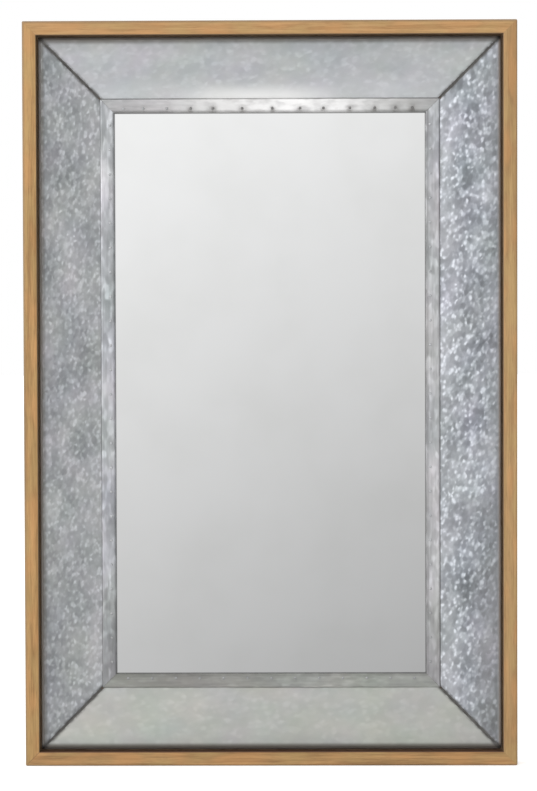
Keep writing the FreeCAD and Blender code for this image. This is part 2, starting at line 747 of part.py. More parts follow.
def pan_head_screw(label, length):
    return turned_piece(label, [
        ("0", f"-{length}"),
        ("Sizes.pan_shank_radius", f"Sizes.pan_point - {length}"),
        ("Sizes.pan_shank_radius", "0"),
        ("Sizes.pan_head_radius", "0"),
        ("Sizes.pan_head_radius", "Sizes.pan_head_height - Sizes.pan_crown"),
        ("Sizes.pan_head_radius - Sizes.pan_crown", "Sizes.pan_head_height"),
        ("0", "Sizes.pan_head_height"),
    ])


# One pattern piece of each fastener and of the bumper, with its seat at height zero
short_screw = pan_head_screw("short_screw_pattern", "Sizes.pan_length")
long_screw = pan_head_screw("long_screw_pattern", "Sizes.ledger_screw_length")
flat_screw = turned_piece("flat_screw_pattern", [
    ("0", "-Sizes.flat_length"),
    ("Sizes.flat_shank_radius", "Sizes.flat_point - Sizes.flat_length"),
    ("Sizes.flat_shank_radius", "Sizes.flat_shank_radius - Sizes.flat_head_radius"),
    ("Sizes.flat_head_radius", "0"),
    ("0", "0"),
])
tack = turned_piece("tack_pattern", [
    ("0", "-Sizes.tack_length"),
    ("Sizes.tack_shank_radius", "Sizes.tack_point - Sizes.tack_length"),
    ("Sizes.tack_shank_radius", "0"),
    ("Sizes.tack_head_radius", "0"),
    ("Sizes.tack_head_radius", "Sizes.tack_head_height"),
    ("0", "Sizes.tack_head_height"),
])
bumper = turned_piece("bumper_pattern", [
    ("0", "0"),
    ("Sizes.bumper_radius", "0"),
    ("Sizes.bumper_tip_radius", "Sizes.bumper_height"),
    ("0", "Sizes.bumper_height"),
])


def rim_at(height):
    """A test that picks out the round edge of a turned piece at a height."""

    def wanted(edge):
        point = edge.Vertexes[0].Point
        return len(edge.Vertexes) == 1 and abs(point.z - number(height)) < SAME

    return wanted


tack_round = "Sizes.tack_head_height - Sizes.tack_rim_height"
round_edges(tack, "crown", rim_at("Sizes.tack_head_height"), tack_round)
round_edges(bumper, "tip", rim_at("Sizes.bumper_height"), "Sizes.bumper_edge_radius")
doc.recompute()

FACING_BACK = FreeCAD.Rotation(Vector(1, 0, 0), -90)
FACING_FRONT = FreeCAD.Rotation(Vector(1, 0, 0), 90)
FACING_IN = FreeCAD.Rotation()


def on_side(side, run, depth, station, facing):
    """Place of a fastener on a side, from its run along it, its depth and its station."""
    spot = Vector(number(run), number(from_middle(depth)), number(station))
    return side_placement(side).multiply(FreeCAD.Placement(spot, facing))


def fastener_group(label, pattern, places):
    """Copies of one pattern piece, kept as separate solids in one group."""
    copies = []
    for place in places:
        copy = pattern.Shape.copy()
        copy.Placement = place
        copies.append(copy)
    group = doc.addObject("Part::Feature", label)
    group.Label = label
    group.Shape = Part.makeCompound(copies)
    group.Placement = FreeCAD.Placement()
    parts.append(group)


# Fasteners and bumpers in their places
fastener_group("strip_tacks", tack, [
    on_side(side, run, STRIP_FACE, TACK_LINE, FACING_FRONT)
    for side in SIDES for run in tack_positions(side)
])
fastener_group("ledger_screws", long_screw, [
    on_side(side, run, LEDGER_SCREW_DEPTH, LEDGER_INSIDE, FACING_IN)
    for side in SIDES for run in ledger_screw_positions(side)
])
outer_places = [
    on_side(side, run, PANEL_BACK, OUTER_SCREW_LINE, FACING_BACK)
    for side in SIDES for run in outer_screw_positions(side)
]
inner_places = [
    on_side(side, run, PANEL_BACK, INNER_SCREW_LINE, FACING_BACK)
    for side in SIDES for run in inner_screw_positions(side)
]
fastener_group("back_panel_screws", short_screw, outer_places + inner_places)
fastener_group("brace_screws", flat_screw, [
    on_side(side, f"{sign}({SIDES[side]['length']} / 2 - {hole})",
            f"({RAIL_BACK} + Sizes.brace_thickness)", BRACE_LINE, FACING_BACK)
    for side in SIDES for sign in ("", "-") for hole in BRACE_HOLES
])
fastener_group("hanger_screws", short_screw, [
    on_side(side, hanger_hole_along(side, hole), f"({RAIL_BACK} + 2 * Sizes.strap_thickness)",
            "Sizes.hanger_inset", FACING_BACK)
    for side in HANGER_SIGN for hole in STRAP_HOLES
])
BUMPER_PLACE = f"({BRACE_END} + Sizes.bumper_gap + Sizes.bumper_radius)"
fastener_group("wall_bumpers", bumper, [
    on_side(side, f"{sign}({SIDES[side]['length']} / 2 - {BUMPER_PLACE})",
            RAIL_BACK, "Sizes.rail_width / 2", FACING_BACK)
    for side in ("bottom", "top") for sign in ("", "-")
])
doc.recompute()

# Check every object, then write one file for each piece
for item in doc.Objects:
    if "Invalid" in item.State or "Error" in item.State:
        raise RuntimeError(f"{item.Label} did not build: {item.State}")
for item in parts:
    if item.Shape.isNull() or not item.Shape.isValid():
        raise RuntimeError(f"{item.Label} has no valid shape")
    item.Shape.exportStep(f"parts/{item.Label}.step")
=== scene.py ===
import math
import bmesh
import bpy
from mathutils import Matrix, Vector


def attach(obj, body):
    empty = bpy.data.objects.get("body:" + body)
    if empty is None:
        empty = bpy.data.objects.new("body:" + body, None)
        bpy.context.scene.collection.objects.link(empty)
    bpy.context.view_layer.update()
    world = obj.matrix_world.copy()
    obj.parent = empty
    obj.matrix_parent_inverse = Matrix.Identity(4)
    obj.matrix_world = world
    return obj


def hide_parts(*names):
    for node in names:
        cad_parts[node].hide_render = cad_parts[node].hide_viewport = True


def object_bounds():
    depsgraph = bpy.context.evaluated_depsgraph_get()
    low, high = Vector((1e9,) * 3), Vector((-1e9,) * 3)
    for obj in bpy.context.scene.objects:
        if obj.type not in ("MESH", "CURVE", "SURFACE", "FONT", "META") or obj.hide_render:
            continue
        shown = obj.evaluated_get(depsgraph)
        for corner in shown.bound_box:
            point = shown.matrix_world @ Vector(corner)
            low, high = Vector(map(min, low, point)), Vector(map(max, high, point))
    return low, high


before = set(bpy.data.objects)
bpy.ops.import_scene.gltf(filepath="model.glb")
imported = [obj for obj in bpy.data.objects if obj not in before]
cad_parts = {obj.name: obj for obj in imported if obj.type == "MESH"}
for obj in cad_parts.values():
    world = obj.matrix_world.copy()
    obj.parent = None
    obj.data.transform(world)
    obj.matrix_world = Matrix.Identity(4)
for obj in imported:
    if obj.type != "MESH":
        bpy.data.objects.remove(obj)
cad_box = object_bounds()
bpy.ops.object.select_all(action="DESELECT")

# Outer rails: four lengths of pale oiled hardwood, mitred and glued at the corners.
# Their long edges are eased with sandpaper and carry painted shade on the outside, and painted
# brown shade on the inner faces makes the gap beside the metal read as a deep shadow.
sides = ("bottom", "top", "left", "right")
half_width = cad_box[1][0]
height = cad_box[1][2]
rail_width = 0.023
rail_light = {
    "bottom": (0.460, 0.272, 0.106, 1),
    "top": (0.510, 0.298, 0.122, 1),
    "left": (0.482, 0.280, 0.103, 1),
    "right": (0.475, 0.294, 0.126, 1),
}
rail_dark = {
    "bottom": (0.250, 0.136, 0.046, 1),
    "top": (0.355, 0.190, 0.066, 1),
    "left": (0.275, 0.146, 0.045, 1),
    "right": (0.325, 0.188, 0.072, 1),
}
warm_wood = (0.560, 0.275, 0.100, 1)
warm_share = 0.35
green_wood = (0.430, 0.300, 0.112, 1)
green_share = 0.30
# Painted shade: the inner faces are darkened brown, most on the bottom rail, so the gap beside the
# metal reads as a deep shadow.
inner_painted_shade = {
    "bottom": (0.110, 0.052, 0.026, 1),
    "top": (0.240, 0.150, 0.078, 1),
    "left": (0.200, 0.130, 0.062, 1),
    "right": (0.240, 0.150, 0.078, 1),
}
inner_shade_start = rail_width - 0.0013
inner_shade_full = rail_width - 0.0004
glue_line = (0.150, 0.085, 0.038, 1)
glue_reach = 0.0012
glue_core = 0.0003
tight_joint = 0.12
open_joint = 0.60
# Painted shade on the eased outer edges, widest and darkest on the top and left rails.
rail_edge_shade = (0.170, 0.118, 0.064, 1)
rail_edge_shade_reach = {"bottom": 0.0036, "top": 0.0062, "left": 0.0056, "right": 0.0026}
rail_edge_shade_core = 0.0002
rail_edge_shade_most = {"bottom": 0.60, "top": 0.75, "left": 0.70, "right": 0.45}
rail_edge_shade_depth_start = -0.0200
rail_edge_shade_depth_full = -0.0240
along_x = (0, math.radians(90), 0)
along_z = (0, 0, 0)
grain_turn = {"bottom": along_x, "top": along_x, "left": along_z, "right": along_z}
grain_shift = {"bottom": 0.0, "top": 0.31, "left": 0.57, "right": 0.83}
grain_draw = 0.035
grain_bands = 85
grain_lines = 620
grain_pores = 2300
pore_shade = 0.55
drift_draw = 0.3
drift_scale = 46


def plug(tree, socket, value):
    """Link an output to a socket, or set the socket to a plain value."""
    if isinstance(value, bpy.types.NodeSocket):
        tree.links.new(value, socket)
    else:
        socket.default_value = value


def put(tree, kind, sockets=None, **settings):
    """Add a shader node; each socket named is set to a value or linked to an output."""
    made = tree.nodes.new(kind)
    for name, value in settings.items():
        setattr(made, name, value)
    for name, value in (sockets or {}).items():
        wanted = [socket for socket in made.inputs if name in (socket.identifier, socket.name)]
        plug(tree, wanted[0], value)
    return made


def blend_colours(tree, share, first, second, blend="MIX"):
    sockets = {"Factor_Float": share, "A_Color": first, "B_Color": second}
    made = put(tree, "ShaderNodeMix", sockets, data_type="RGBA", blend_type=blend)
    return [socket for socket in made.outputs if socket.identifier == "Result_Color"][0]


def reckon(tree, operation, first, second=0.0):
    made = put(tree, "ShaderNodeMath", operation=operation)
    for socket, value in zip(made.inputs, (first, second)):
        plug(tree, socket, value)
    return made.outputs[0]


def times(tree, first, second):
    return reckon(tree, "MULTIPLY", first, second)


def weigh(tree, first, second, share):
    """Mix two values; the share is the second one's."""
    return reckon(tree, "ADD", times(tree, first, 1 - share), times(tree, second, share))


def ease(tree, value, start, end, low=0.0, high=1.0):
    """Carry a value smoothly from one range into another."""
    sockets = {"Value": value, "From Min": start, "From Max": end, "To Min": low, "To Max": high}
    return put(tree, "ShaderNodeMapRange", sockets, interpolation_type="SMOOTHSTEP").outputs[0]


def noise(tree, place, scale, detail):
    sockets = {"Vector": place, "Scale": scale, "Detail": detail}
    return put(tree, "ShaderNodeTexNoise", sockets).outputs


def mapped(tree, place, **sockets):
    """Shift, turn or stretch a place before a pattern is laid on it."""
    return put(tree, "ShaderNodeMapping", {"Vector": place, **sockets}).outputs[0]


def axes_of(tree, place):
    return put(tree, "ShaderNodeSeparateXYZ", {"Vector": place}).outputs


def effect(name, inputs, outputs):
    """Start a node group for an effect that several finishes share."""
    group = bpy.data.node_groups.new(name, "ShaderNodeTree")
    for label, kind in inputs.items():
        group.interface.new_socket(label, in_out="INPUT", socket_type=kind)
    for label, kind in outputs.items():
        group.interface.new_socket(label, in_out="OUTPUT", socket_type=kind)
    entry = group.nodes.new("NodeGroupInput")
    return group, entry.outputs, group.nodes.new("NodeGroupOutput").inputs


def use_effect(tree, group, sockets):
    return put(tree, "ShaderNodeGroup", sockets, node_tree=group).outputs


def new_finish(name):
    material = bpy.data.materials.new(name)
    material.use_nodes = True
    tree = material.node_tree
    place = put(tree, "ShaderNodeTexCoord").outputs["Object"]
    return material, tree, tree.nodes["Principled BSDF"], place


def coat(tree, surface, colour, roughness, metallic=0.0):
    """Give a surface its colour, its roughness and its share of bare metal."""
    for name, value in (("Base Color", colour), ("Roughness", roughness), ("Metallic", metallic)):
        plug(tree, surface.inputs[name], value)


def relief(tree, surface, depth_of, strength, distance):
    """Let a height shape the surface's normal."""
    bump = put(tree, "ShaderNodeBump", {"Height": depth_of, "Strength": strength, "Distance": distance})
    tree.links.new(bump.outputs["Normal"], surface.inputs["Normal"])


def dress(node, material):
    """Give a CAD node its finish."""
    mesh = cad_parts[node].data
    mesh.materials.clear()
    mesh.materials.append(material)


straight_grain, entry, result = effect(
    "straight_grain",
    {"Along Z": "NodeSocketVector", "Light": "NodeSocketColor", "Dark": "NodeSocketColor"},
    {"Color": "NodeSocketColor", "Roughness": "NodeSocketFloat", "Height": "NodeSocketFloat"},
)
tree = straight_grain
drawn = mapped(tree, entry["Along Z"], Scale=(1, 1, grain_draw))
bands = noise(tree, drawn, grain_bands, 3)[0]
lines = noise(tree, drawn, grain_lines, 2)[0]
pore = ease(tree, noise(tree, drawn, grain_pores, 1)[0], 0.56, 0.70)
share = ease(tree, weigh(tree, bands, lines, 0.4), 0.36, 0.64)
wood = blend_colours(tree, share, entry["Dark"], entry["Light"])
shade = blend_colours(tree, pore_shade, wood, entry["Dark"], "MULTIPLY")
tree.links.new(blend_colours(tree, times(tree, pore, pore_shade), wood, shade), result["Color"])
tree.links.new(ease(tree, share, 0, 1, 0.60, 0.47), result["Roughness"])
tree.links.new(reckon(tree, "SUBTRACT", times(tree, share, 0.4), pore), result["Height"])

place_in_frame, entry, result = effect(
    "place_in_frame",
    {"Place": "NodeSocketVector"},
    {"Inset": "NodeSocketFloat", "Mitre": "NodeSocketFloat"},
)
tree = place_in_frame
axes = axes_of(tree, entry["Place"])
from_side = reckon(tree, "SUBTRACT", half_width, reckon(tree, "ABSOLUTE", axes["X"]))
off_middle = reckon(tree, "ABSOLUTE", reckon(tree, "SUBTRACT", axes["Z"], height / 2))
from_end = reckon(tree, "SUBTRACT", height / 2, off_middle)
off_mitre = reckon(tree, "ABSOLUTE", reckon(tree, "SUBTRACT", from_side, from_end))
tree.links.new(reckon(tree, "MINIMUM", from_side, from_end), result["Inset"])
tree.links.new(off_mitre, result["Mitre"])

for side in sides:
    material, tree, surface, place = new_finish(f"oiled_wood_{side}")
    turned = mapped(tree, place, Location=(grain_shift[side],) * 3, Rotation=grain_turn[side])
    wood = use_effect(tree, straight_grain, {
        "Along Z": turned, "Light": rail_light[side], "Dark": rail_dark[side]})
    drift = noise(tree, mapped(tree, turned, Scale=(1, 1, drift_draw)), drift_scale, 1)[0]
    warm = ease(tree, drift, 0.48, 0.66, 0.0, warm_share)
    green = ease(tree, drift, 0.52, 0.36, 0.0, green_share)
    colour = blend_colours(tree, warm, wood["Color"], warm_wood)
    colour = blend_colours(tree, green, colour, green_wood)
    spot = use_effect(tree, place_in_frame, {"Place": place})
    axes = axes_of(tree, place)
    joint = tight_joint
    if side == "bottom":
        joint = ease(tree, axes["X"], 0.3, -0.3, tight_joint, open_joint)
    if side == "left":
        joint = ease(tree, axes["Z"], 0.9, 0.3, tight_joint, open_joint)
    joint = times(tree, ease(tree, spot["Mitre"], glue_reach, glue_core), joint)
    colour = blend_colours(tree, joint, colour, glue_line)
    # Painted shade darkens the eased outer edges at the front face.
    painted_light_share = ease(tree, spot["Inset"], rail_edge_shade_reach[side], rail_edge_shade_core, 0.0, rail_edge_shade_most[side])
    painted_light_share = times(tree, painted_light_share, ease(tree, axes["Y"], rail_edge_shade_depth_start, rail_edge_shade_depth_full))
    colour = blend_colours(tree, painted_light_share, colour, rail_edge_shade)
    # Painted brown shade on the inner faces, beside the gap.
    painted_shade = ease(tree, spot["Inset"], inner_shade_start, inner_shade_full)
    colour = blend_colours(tree, painted_shade, colour, inner_painted_shade[side])
    coat(tree, surface, colour, wood["Roughness"])
    relief(tree, surface, wood["Height"], strength=0.25, distance=0.0004)
    dress(f"outer_rail_{side}", material)

# Ledgers: strips of dark stained softwood, bevelled to the slope of the boards.
# Each is screwed to the inner face of its rail, and only its front shows, deep in the gap.
ledger_light = (0.300, 0.195, 0.110, 1)
ledger_dark = (0.180, 0.112, 0.062, 1)


def stain_softwood(piece, finish, light, dark):
    """Dress the four lengths of one hidden piece, with the grain along each of them."""
    for side in sides:
        material, tree, surface, place = new_finish(f"{finish}_{side}")
        turned = mapped(tree, place, Rotation=grain_turn[side])
        wood = use_effect(tree, straight_grain, {"Along Z": turned, "Light": light, "Dark": dark})
        coat(tree, surface, wood["Color"], wood["Roughness"])
        relief(tree, surface, wood["Height"], strength=0.4, distance=0.0005)
        dress(f"{piece}_{side}", material)


stain_softwood("ledger", "stained_ledger", ledger_light, ledger_dark)

# Ledger screws: plated steel wood screws through the ledgers into the rails.
# The boards and the back panel hide them once the mirror is closed.
plate_light = (0.60, 0.61, 0.62, 1)
plate_dark = (0.40, 0.41, 0.43, 1)
plate_metallic = 0.9
plate_clouds = 210
plate_specks = 1900

plated_steel, entry, result = effect(
    "plated_steel",
    {"Place": "NodeSocketVector", "Light": "NodeSocketColor", "Dark": "NodeSocketColor"},
    {"Color": "NodeSocketColor", "Roughness": "NodeSocketFloat", "Height": "NodeSocketFloat"},
)
tree = plated_steel
cloud = noise(tree, entry["Place"], plate_clouds, 4)[0]
speck = noise(tree, entry["Place"], plate_specks, 2)[0]
share = ease(tree, weigh(tree, cloud, speck, 0.3), 0.36, 0.64)
tree.links.new(blend_colours(tree, share, entry["Dark"], entry["Light"]), result["Color"])
tree.links.new(ease(tree, cloud, 0.3, 0.7, 0.44, 0.28), result["Roughness"])
tree.links.new(speck, result["Height"])


def plated(name, light, dark):
    material, tree, surface, place = new_finish(name)
    steel = use_effect(tree, plated_steel, {"Place": place, "Light": light, "Dark": dark})
    coat(tree, surface, steel["Color"], steel["Roughness"], plate_metallic)
    relief(tree, surface, steel["Height"], strength=0.12, distance=0.0002)
    return material


zinc_plate = plated("zinc_plated_steel", plate_light, plate_dark)
dress("ledger_screws", zinc_plate)

# Bevel boards: thin boards on the ledgers, stained dark, that carry the metal panels.
# They are seen only as the dark lines between the panels at the corners.
board_light = (0.112, 0.107, 0.100, 1)
board_dark = (0.062, 0.058, 0.053, 1)
stain_softwood("bevel_board", "stained_board", board_light, board_dark)

# Inner battens: rebated softwood that holds the glass and takes the tacks.
# They are stained darker than the ledgers and hidden under the strips.
batten_light = (0.140, 0.110, 0.085, 1)
batten_dark = (0.080, 0.060, 0.045, 1)
stain_softwood("inner_batten", "stained_batten", batten_light, batten_dark)

# Galvanized panels: hot-dip galvanized sheet laid on the sloping boards, cut by hand at the
# mitres and rolled down into the gap beside the wood. The zinc has set in crystals; each side's
# tone, crystal contrast and glints are painted to how the light falls on it, with painted
# highlight towards the strip and painted shade beside the wood, on the fold and along the seams.
panel_top_edge = (-0.0170, 0.0258)
panel_foot_edge = {
    "bottom": (0.00523, 0.1259),
    "top": (0.0051, 0.1253),
    "left": (0.00523, 0.1259),
    "right": (0.0051, 0.1253),
}
panel_fold = 0.012
panel_bend = 0.0096
panel_bend_steps = 10
panel_seam = 0.0026
panel_cell = 0.0104
sheet_thickness = 0.0006
sheet_dent_size = 0.11
sheet_dent_depth = 0.0009
smooth_angle = math.radians(35)
hair = 1e-5
side_length = {
    "bottom": 2 * half_width,
    "top": 2 * half_width,
    "left": height,
    "right": height,
}
side_turn = {"bottom": 0, "top": 180, "left": 90, "right": -90}
side_base = {
    "bottom": (0, 0, 0),
    "top": (0, 0, height),
    "left": (-half_width, 0, height / 2),
    "right": (half_width, 0, height / 2),
}
side_ends = {
    "bottom": ("bottom_right", "bottom_left"),
    "top": ("top_left", "top_right"),
    "left": ("bottom_left", "top_left"),
    "right": ("top_right", "bottom_right"),
}
seam_widest = {"bottom_left": 0.095, "bottom_right": 0.076, "top_left": 0.070, "top_right": 0.095}
seam_gape = {"bottom_left": 0.0015, "bottom_right": 0.0013, "top_left": 0.0011, "top_right": 0.0014}
seam_gape_reach = 0.085
seam_grip = 0.005
crystal_size = {"bottom": 0.0125, "top": 0.0115, "left": 0.0078, "right": 0.0084}
crystal_turn = {"bottom": 85, "top": 80, "left": 12, "right": 20}
crystal_draw = 0.70
crystal_melt = 1.0
crystal_stray = 0.6
small_crystals = 1.7
bright_power = 1.6
bright_middle = 0.362
bright_weight = 0.8
large_weight = 0.25
patch_scale = 17
patch_weight = 1.2
patch_tint = 0.15
# Painted light: the four panels are lit and shaded copies of one zinc, each side's tone, crystal
# contrast and glints set by how the light falls on it.
zinc_contrast = {"bottom": 0.14, "top": 0.30, "left": 0.82, "right": 1.02}
zinc_glint = {"bottom": 0.02, "top": 0.04, "left": 0.12, "right": 0.30}
zinc_tone_and_painted_light = {
    "bottom": (0.420, 0.428, 0.400, 1),
    "top": (0.515, 0.532, 0.542, 1),
    "left": (0.436, 0.450, 0.464, 1),
    "right": (0.330, 0.347, 0.376, 1),
}
zinc_metallic = 0.65
facet_tilt = 0.06
# Painted glints: bright colour on the hearts of the small crystals, denser towards the strip.
glint_zinc = (0.82, 0.85, 0.90, 1)
glint_start = 0.030
glint_full = 0.105
glint_least = 0.40
glint_most = 1.75
# Painted highlight: lighter zinc towards the strip, and on the roll of the fold into the gap.
highlight_zinc = (0.74, 0.75, 0.76, 1)
foot_highlight_share = {"bottom": 0.04, "top": 0.34, "left": 0.10, "right": 0.14}
foot_highlight_start = 0.078
foot_highlight_full = 0.124
# Painted highlight: a bright sheen on the top panel near the strip, round its middle.
painted_shine_zinc = (0.92, 0.92, 0.91, 1)
shine_middle = -0.02
shine_half_length = 0.17
shine_core = 0.03
shine_start = 0.098
shine_full = 0.1245
shine_share = 0.85
# Painted shade: darker zinc beside the wood, and low on the right panel towards the wood.
shaded_zinc = (0.160, 0.155, 0.148, 1)
wood_shade_share = {"bottom": 0.18, "top": 0.20, "left": 0.16, "right": 0.20}
wood_shade_start = 0.060
wood_shade_full = 0.030
low_shade_top = 0.56
low_shade_foot = 0.20
low_shade_start = 0.085
low_shade_full = 0.045
low_shade_share = 0.34
# Painted shade on the fold of each panel beside the wood, none on the right.
fold_shade_colour = (0.085, 0.072, 0.056, 1)
fold_shade_reach = {"bottom": 0.0385, "top": 0.0395, "left": 0.0378, "right": 0.0330}
fold_shade_full = 0.0320
fold_shade_share = {"bottom": 0.70, "top": 0.72, "left": 0.60, "right": 0.0}
fold_highlight_reach = {"bottom": 0.0300, "top": 0.0300, "left": 0.0305, "right": 0.0350}
fold_highlight_full = 0.0280
fold_highlight_share = {"bottom": 0.25, "top": 0.16, "left": 0.85, "right": 0.55}
# Painted shade along the mitre seams, broken into blots.
seam_shade_colour = (0.075, 0.072, 0.068, 1)
seam_shade_reach = 0.0095
seam_shade_full = 0.0012
seam_shade_share = 0.85
seam_shade_blots = 130


def flat_blank(name, length, first, last, cell):
    """A gridded blank along the bottom side, between two (depth, inset) edges of its section."""
    across = Vector(last) - Vector(first)
    middle = (Vector(last) + Vector(first)) / 2
    bpy.ops.object.select_all(action="DESELECT")
    bpy.ops.mesh.primitive_grid_add(
        x_subdivisions=round(length / cell), y_subdivisions=round(across.length / cell), size=1)
    blank = bpy.context.object
    blank.name = name
    blank.scale = (length, across.length, 1)
    blank.rotation_euler = (math.atan2(across.y, across.x), 0, 0)
    blank.location = (0, middle.x, middle.y)
    bpy.ops.object.transform_apply(location=True, rotation=True, scale=True)
    return blank


def pick(kind, wanted):
    """In edit mode, select only the vertices, edges or faces whose middle passes the test."""
    mesh = bmesh.from_edit_mesh(bpy.context.edit_object.data)
    bpy.ops.mesh.select_mode(type=kind)
    bpy.ops.mesh.select_all(action="DESELECT")
    items = {"VERT": mesh.verts, "EDGE": mesh.edges, "FACE": mesh.faces}[kind]
    for item in items:
        corners = [item] if kind == "VERT" else item.verts
        middle = sum((corner.co for corner in corners), Vector()) / len(corners)
        if wanted(middle):
            item.select_set(True)
    mesh.select_flush_mode()
    bmesh.update_edit_mesh(bpy.context.edit_object.data)


def draw_out(axis, amount):
    """Extrude what is selected along one axis."""
    move = [0, 0, 0]
    move["XYZ".index(axis)] = amount
    bpy.ops.mesh.extrude_region_move(TRANSFORM_OT_translate={"value": move})


def fold_edge(edge, fold, bend, steps):
    """Fold the sheet back at one long (depth, inset) edge and round the bend."""
    depth, inset = edge

    def on_edge(middle):
        return abs(middle.y - depth) < hair and abs(middle.z - inset) < hair

    pick("EDGE", on_edge)
    draw_out("Y", fold)
    pick("EDGE", on_edge)
    bpy.ops.mesh.bevel(offset=bend, segments=steps, affect="EDGES")


def mitre_reach(length, seam):
    """How far from the middle a mitre starts, half a seam short of the corner."""
    return length / 2 - seam / math.sqrt(2)


def cut_mitres(length, seam):
    """Cut both ends at 45 degrees."""
    for sign in (1, -1):
        bpy.ops.mesh.select_all(action="SELECT")
        bpy.ops.mesh.bisect(
            plane_co=(sign * mitre_reach(length, seam), 0, 0), plane_no=(sign, 0, 1), clear_outer=True)


def gape_seams(side):
    """Pull each mitre back where the hand-cut seam gapes most."""
    reach = mitre_reach(side_length[side], panel_seam)
    for sign, corner in zip((1, -1), side_ends[side]):
        widest = seam_widest[corner]
        pick("VERT", lambda middle: abs(sign * middle.x + middle.z - reach) < 10 * hair
             and abs(middle.z - widest) < seam_grip)
        bpy.ops.transform.translate(
            value=(-sign * seam_gape[corner], 0, 0), use_proportional_edit=True,
            proportional_edit_falloff="SPHERE", proportional_size=seam_gape_reach)


def add_modifier(piece, kind, **settings):
    modifier = piece.modifiers.new(kind.lower(), kind)
    for name, value in settings.items():
        setattr(modifier, name, value)
    bpy.context.view_layer.objects.active = piece
    bpy.ops.object.modifier_apply(modifier=modifier.name)


def uneven(name, size):
    """A cloudy pattern that dents or wavers a sheet."""
    pattern = bpy.data.textures.new(name, "CLOUDS")
    pattern.noise_scale = size
    return pattern


def thicken_and_lay(sheet, side):
    """Give a bent sheet its thickness and carry it from the bottom side to its own."""
    add_modifier(sheet, "SOLIDIFY", thickness=sheet_thickness, offset=-1)
    sheet.rotation_euler = (0, math.radians(side_turn[side]), 0)
    sheet.location = side_base[side]
    bpy.ops.object.transform_apply(location=True, rotation=True, scale=True)
    bpy.ops.object.shade_smooth_by_angle(angle=smooth_angle)


def steer(tree, operation, first, second=(0, 0, 0)):
    made = put(tree, "ShaderNodeVectorMath", operation=operation)
    for socket, value in zip(made.inputs, (first, second)):
        plug(tree, socket, value)
    return made.outputs[0]


def stretch(tree, vector, amount):
    sockets = {"Vector": vector, "Scale": amount}
    return put(tree, "ShaderNodeVectorMath", sockets, operation="SCALE").outputs[0]


def off_centre(tree, colour):
    """A random colour as a vector that points any way."""
    return steer(tree, "SUBTRACT", colour, (0.5, 0.5, 0.5))


def cells(tree, place, scale):
    sockets = {"Vector": place, "Scale": scale, "Smoothness": crystal_melt}
    return put(tree, "ShaderNodeTexVoronoi", sockets, feature="SMOOTH_F1").outputs


def channels(tree, colour):
    return put(tree, "ShaderNodeSeparateColor", {"Color": colour}).outputs


zinc_crystals, entry, result = effect(
    "zinc_crystals",
    {
        "Place": "NodeSocketVector",
        "Crystals": "NodeSocketFloat",
        "Contrast": "NodeSocketFloat",
        "Glint": "NodeSocketFloat",
        "Tone": "NodeSocketColor",
        "Facet": "NodeSocketFloat",
    },
    {"Color": "NodeSocketColor", "Roughness": "NodeSocketFloat", "Normal": "NodeSocketVector"},
)
tree = zinc_crystals
stray = noise(tree, entry["Place"], times(tree, entry["Crystals"], 1.1), 2)["Color"]
stray_reach = reckon(tree, "DIVIDE", crystal_stray, entry["Crystals"])
edge = steer(tree, "ADD", entry["Place"], stretch(tree, off_centre(tree, stray), stray_reach))
large = cells(tree, edge, entry["Crystals"])
small = cells(tree, edge, times(tree, entry["Crystals"], small_crystals))
large_tone = channels(tree, large["Color"])[0]
small_tone = channels(tree, small["Color"])[1]
patch = noise(tree, entry["Place"], patch_scale, 3)
bright = reckon(tree, "SUBTRACT", reckon(tree, "POWER", small_tone, bright_power), bright_middle)
cloud = times(tree, reckon(tree, "SUBTRACT", patch[0], 0.5), patch_weight)
broad = times(tree, reckon(tree, "SUBTRACT", large_tone, 0.5), large_weight)
level = reckon(tree, "ADD", times(tree, bright, bright_weight), cloud)
level = reckon(tree, "ADD", level, broad)
level = reckon(tree, "ADD", 1.0, times(tree, level, entry["Contrast"]))
tint = stretch(tree, off_centre(tree, patch["Color"]), patch_tint)
toned = steer(tree, "MULTIPLY", entry["Tone"], steer(tree, "ADD", tint, (1, 1, 1)))
toned = stretch(tree, toned, level)
# Painted glints on the hearts of the small crystals.
heart = ease(tree, small["Distance"], 0.66, 0.16)
glint = times(tree, ease(tree, small_tone, 0.42, 0.92), heart)
glint = times(tree, glint, entry["Glint"])
tree.links.new(blend_colours(tree, glint, toned, glint_zinc), result["Color"])
crystal = weigh(tree, large_tone, small_tone, 0.5)
tree.links.new(ease(tree, crystal, 0.2, 0.8, 0.50, 0.38), result["Roughness"])
tilt = stretch(tree, off_centre(tree, small["Color"]), entry["Facet"])
facet = steer(tree, "ADD", put(tree, "ShaderNodeNewGeometry").outputs["Normal"], tilt)
tree.links.new(steer(tree, "NORMALIZE", facet), result["Normal"])


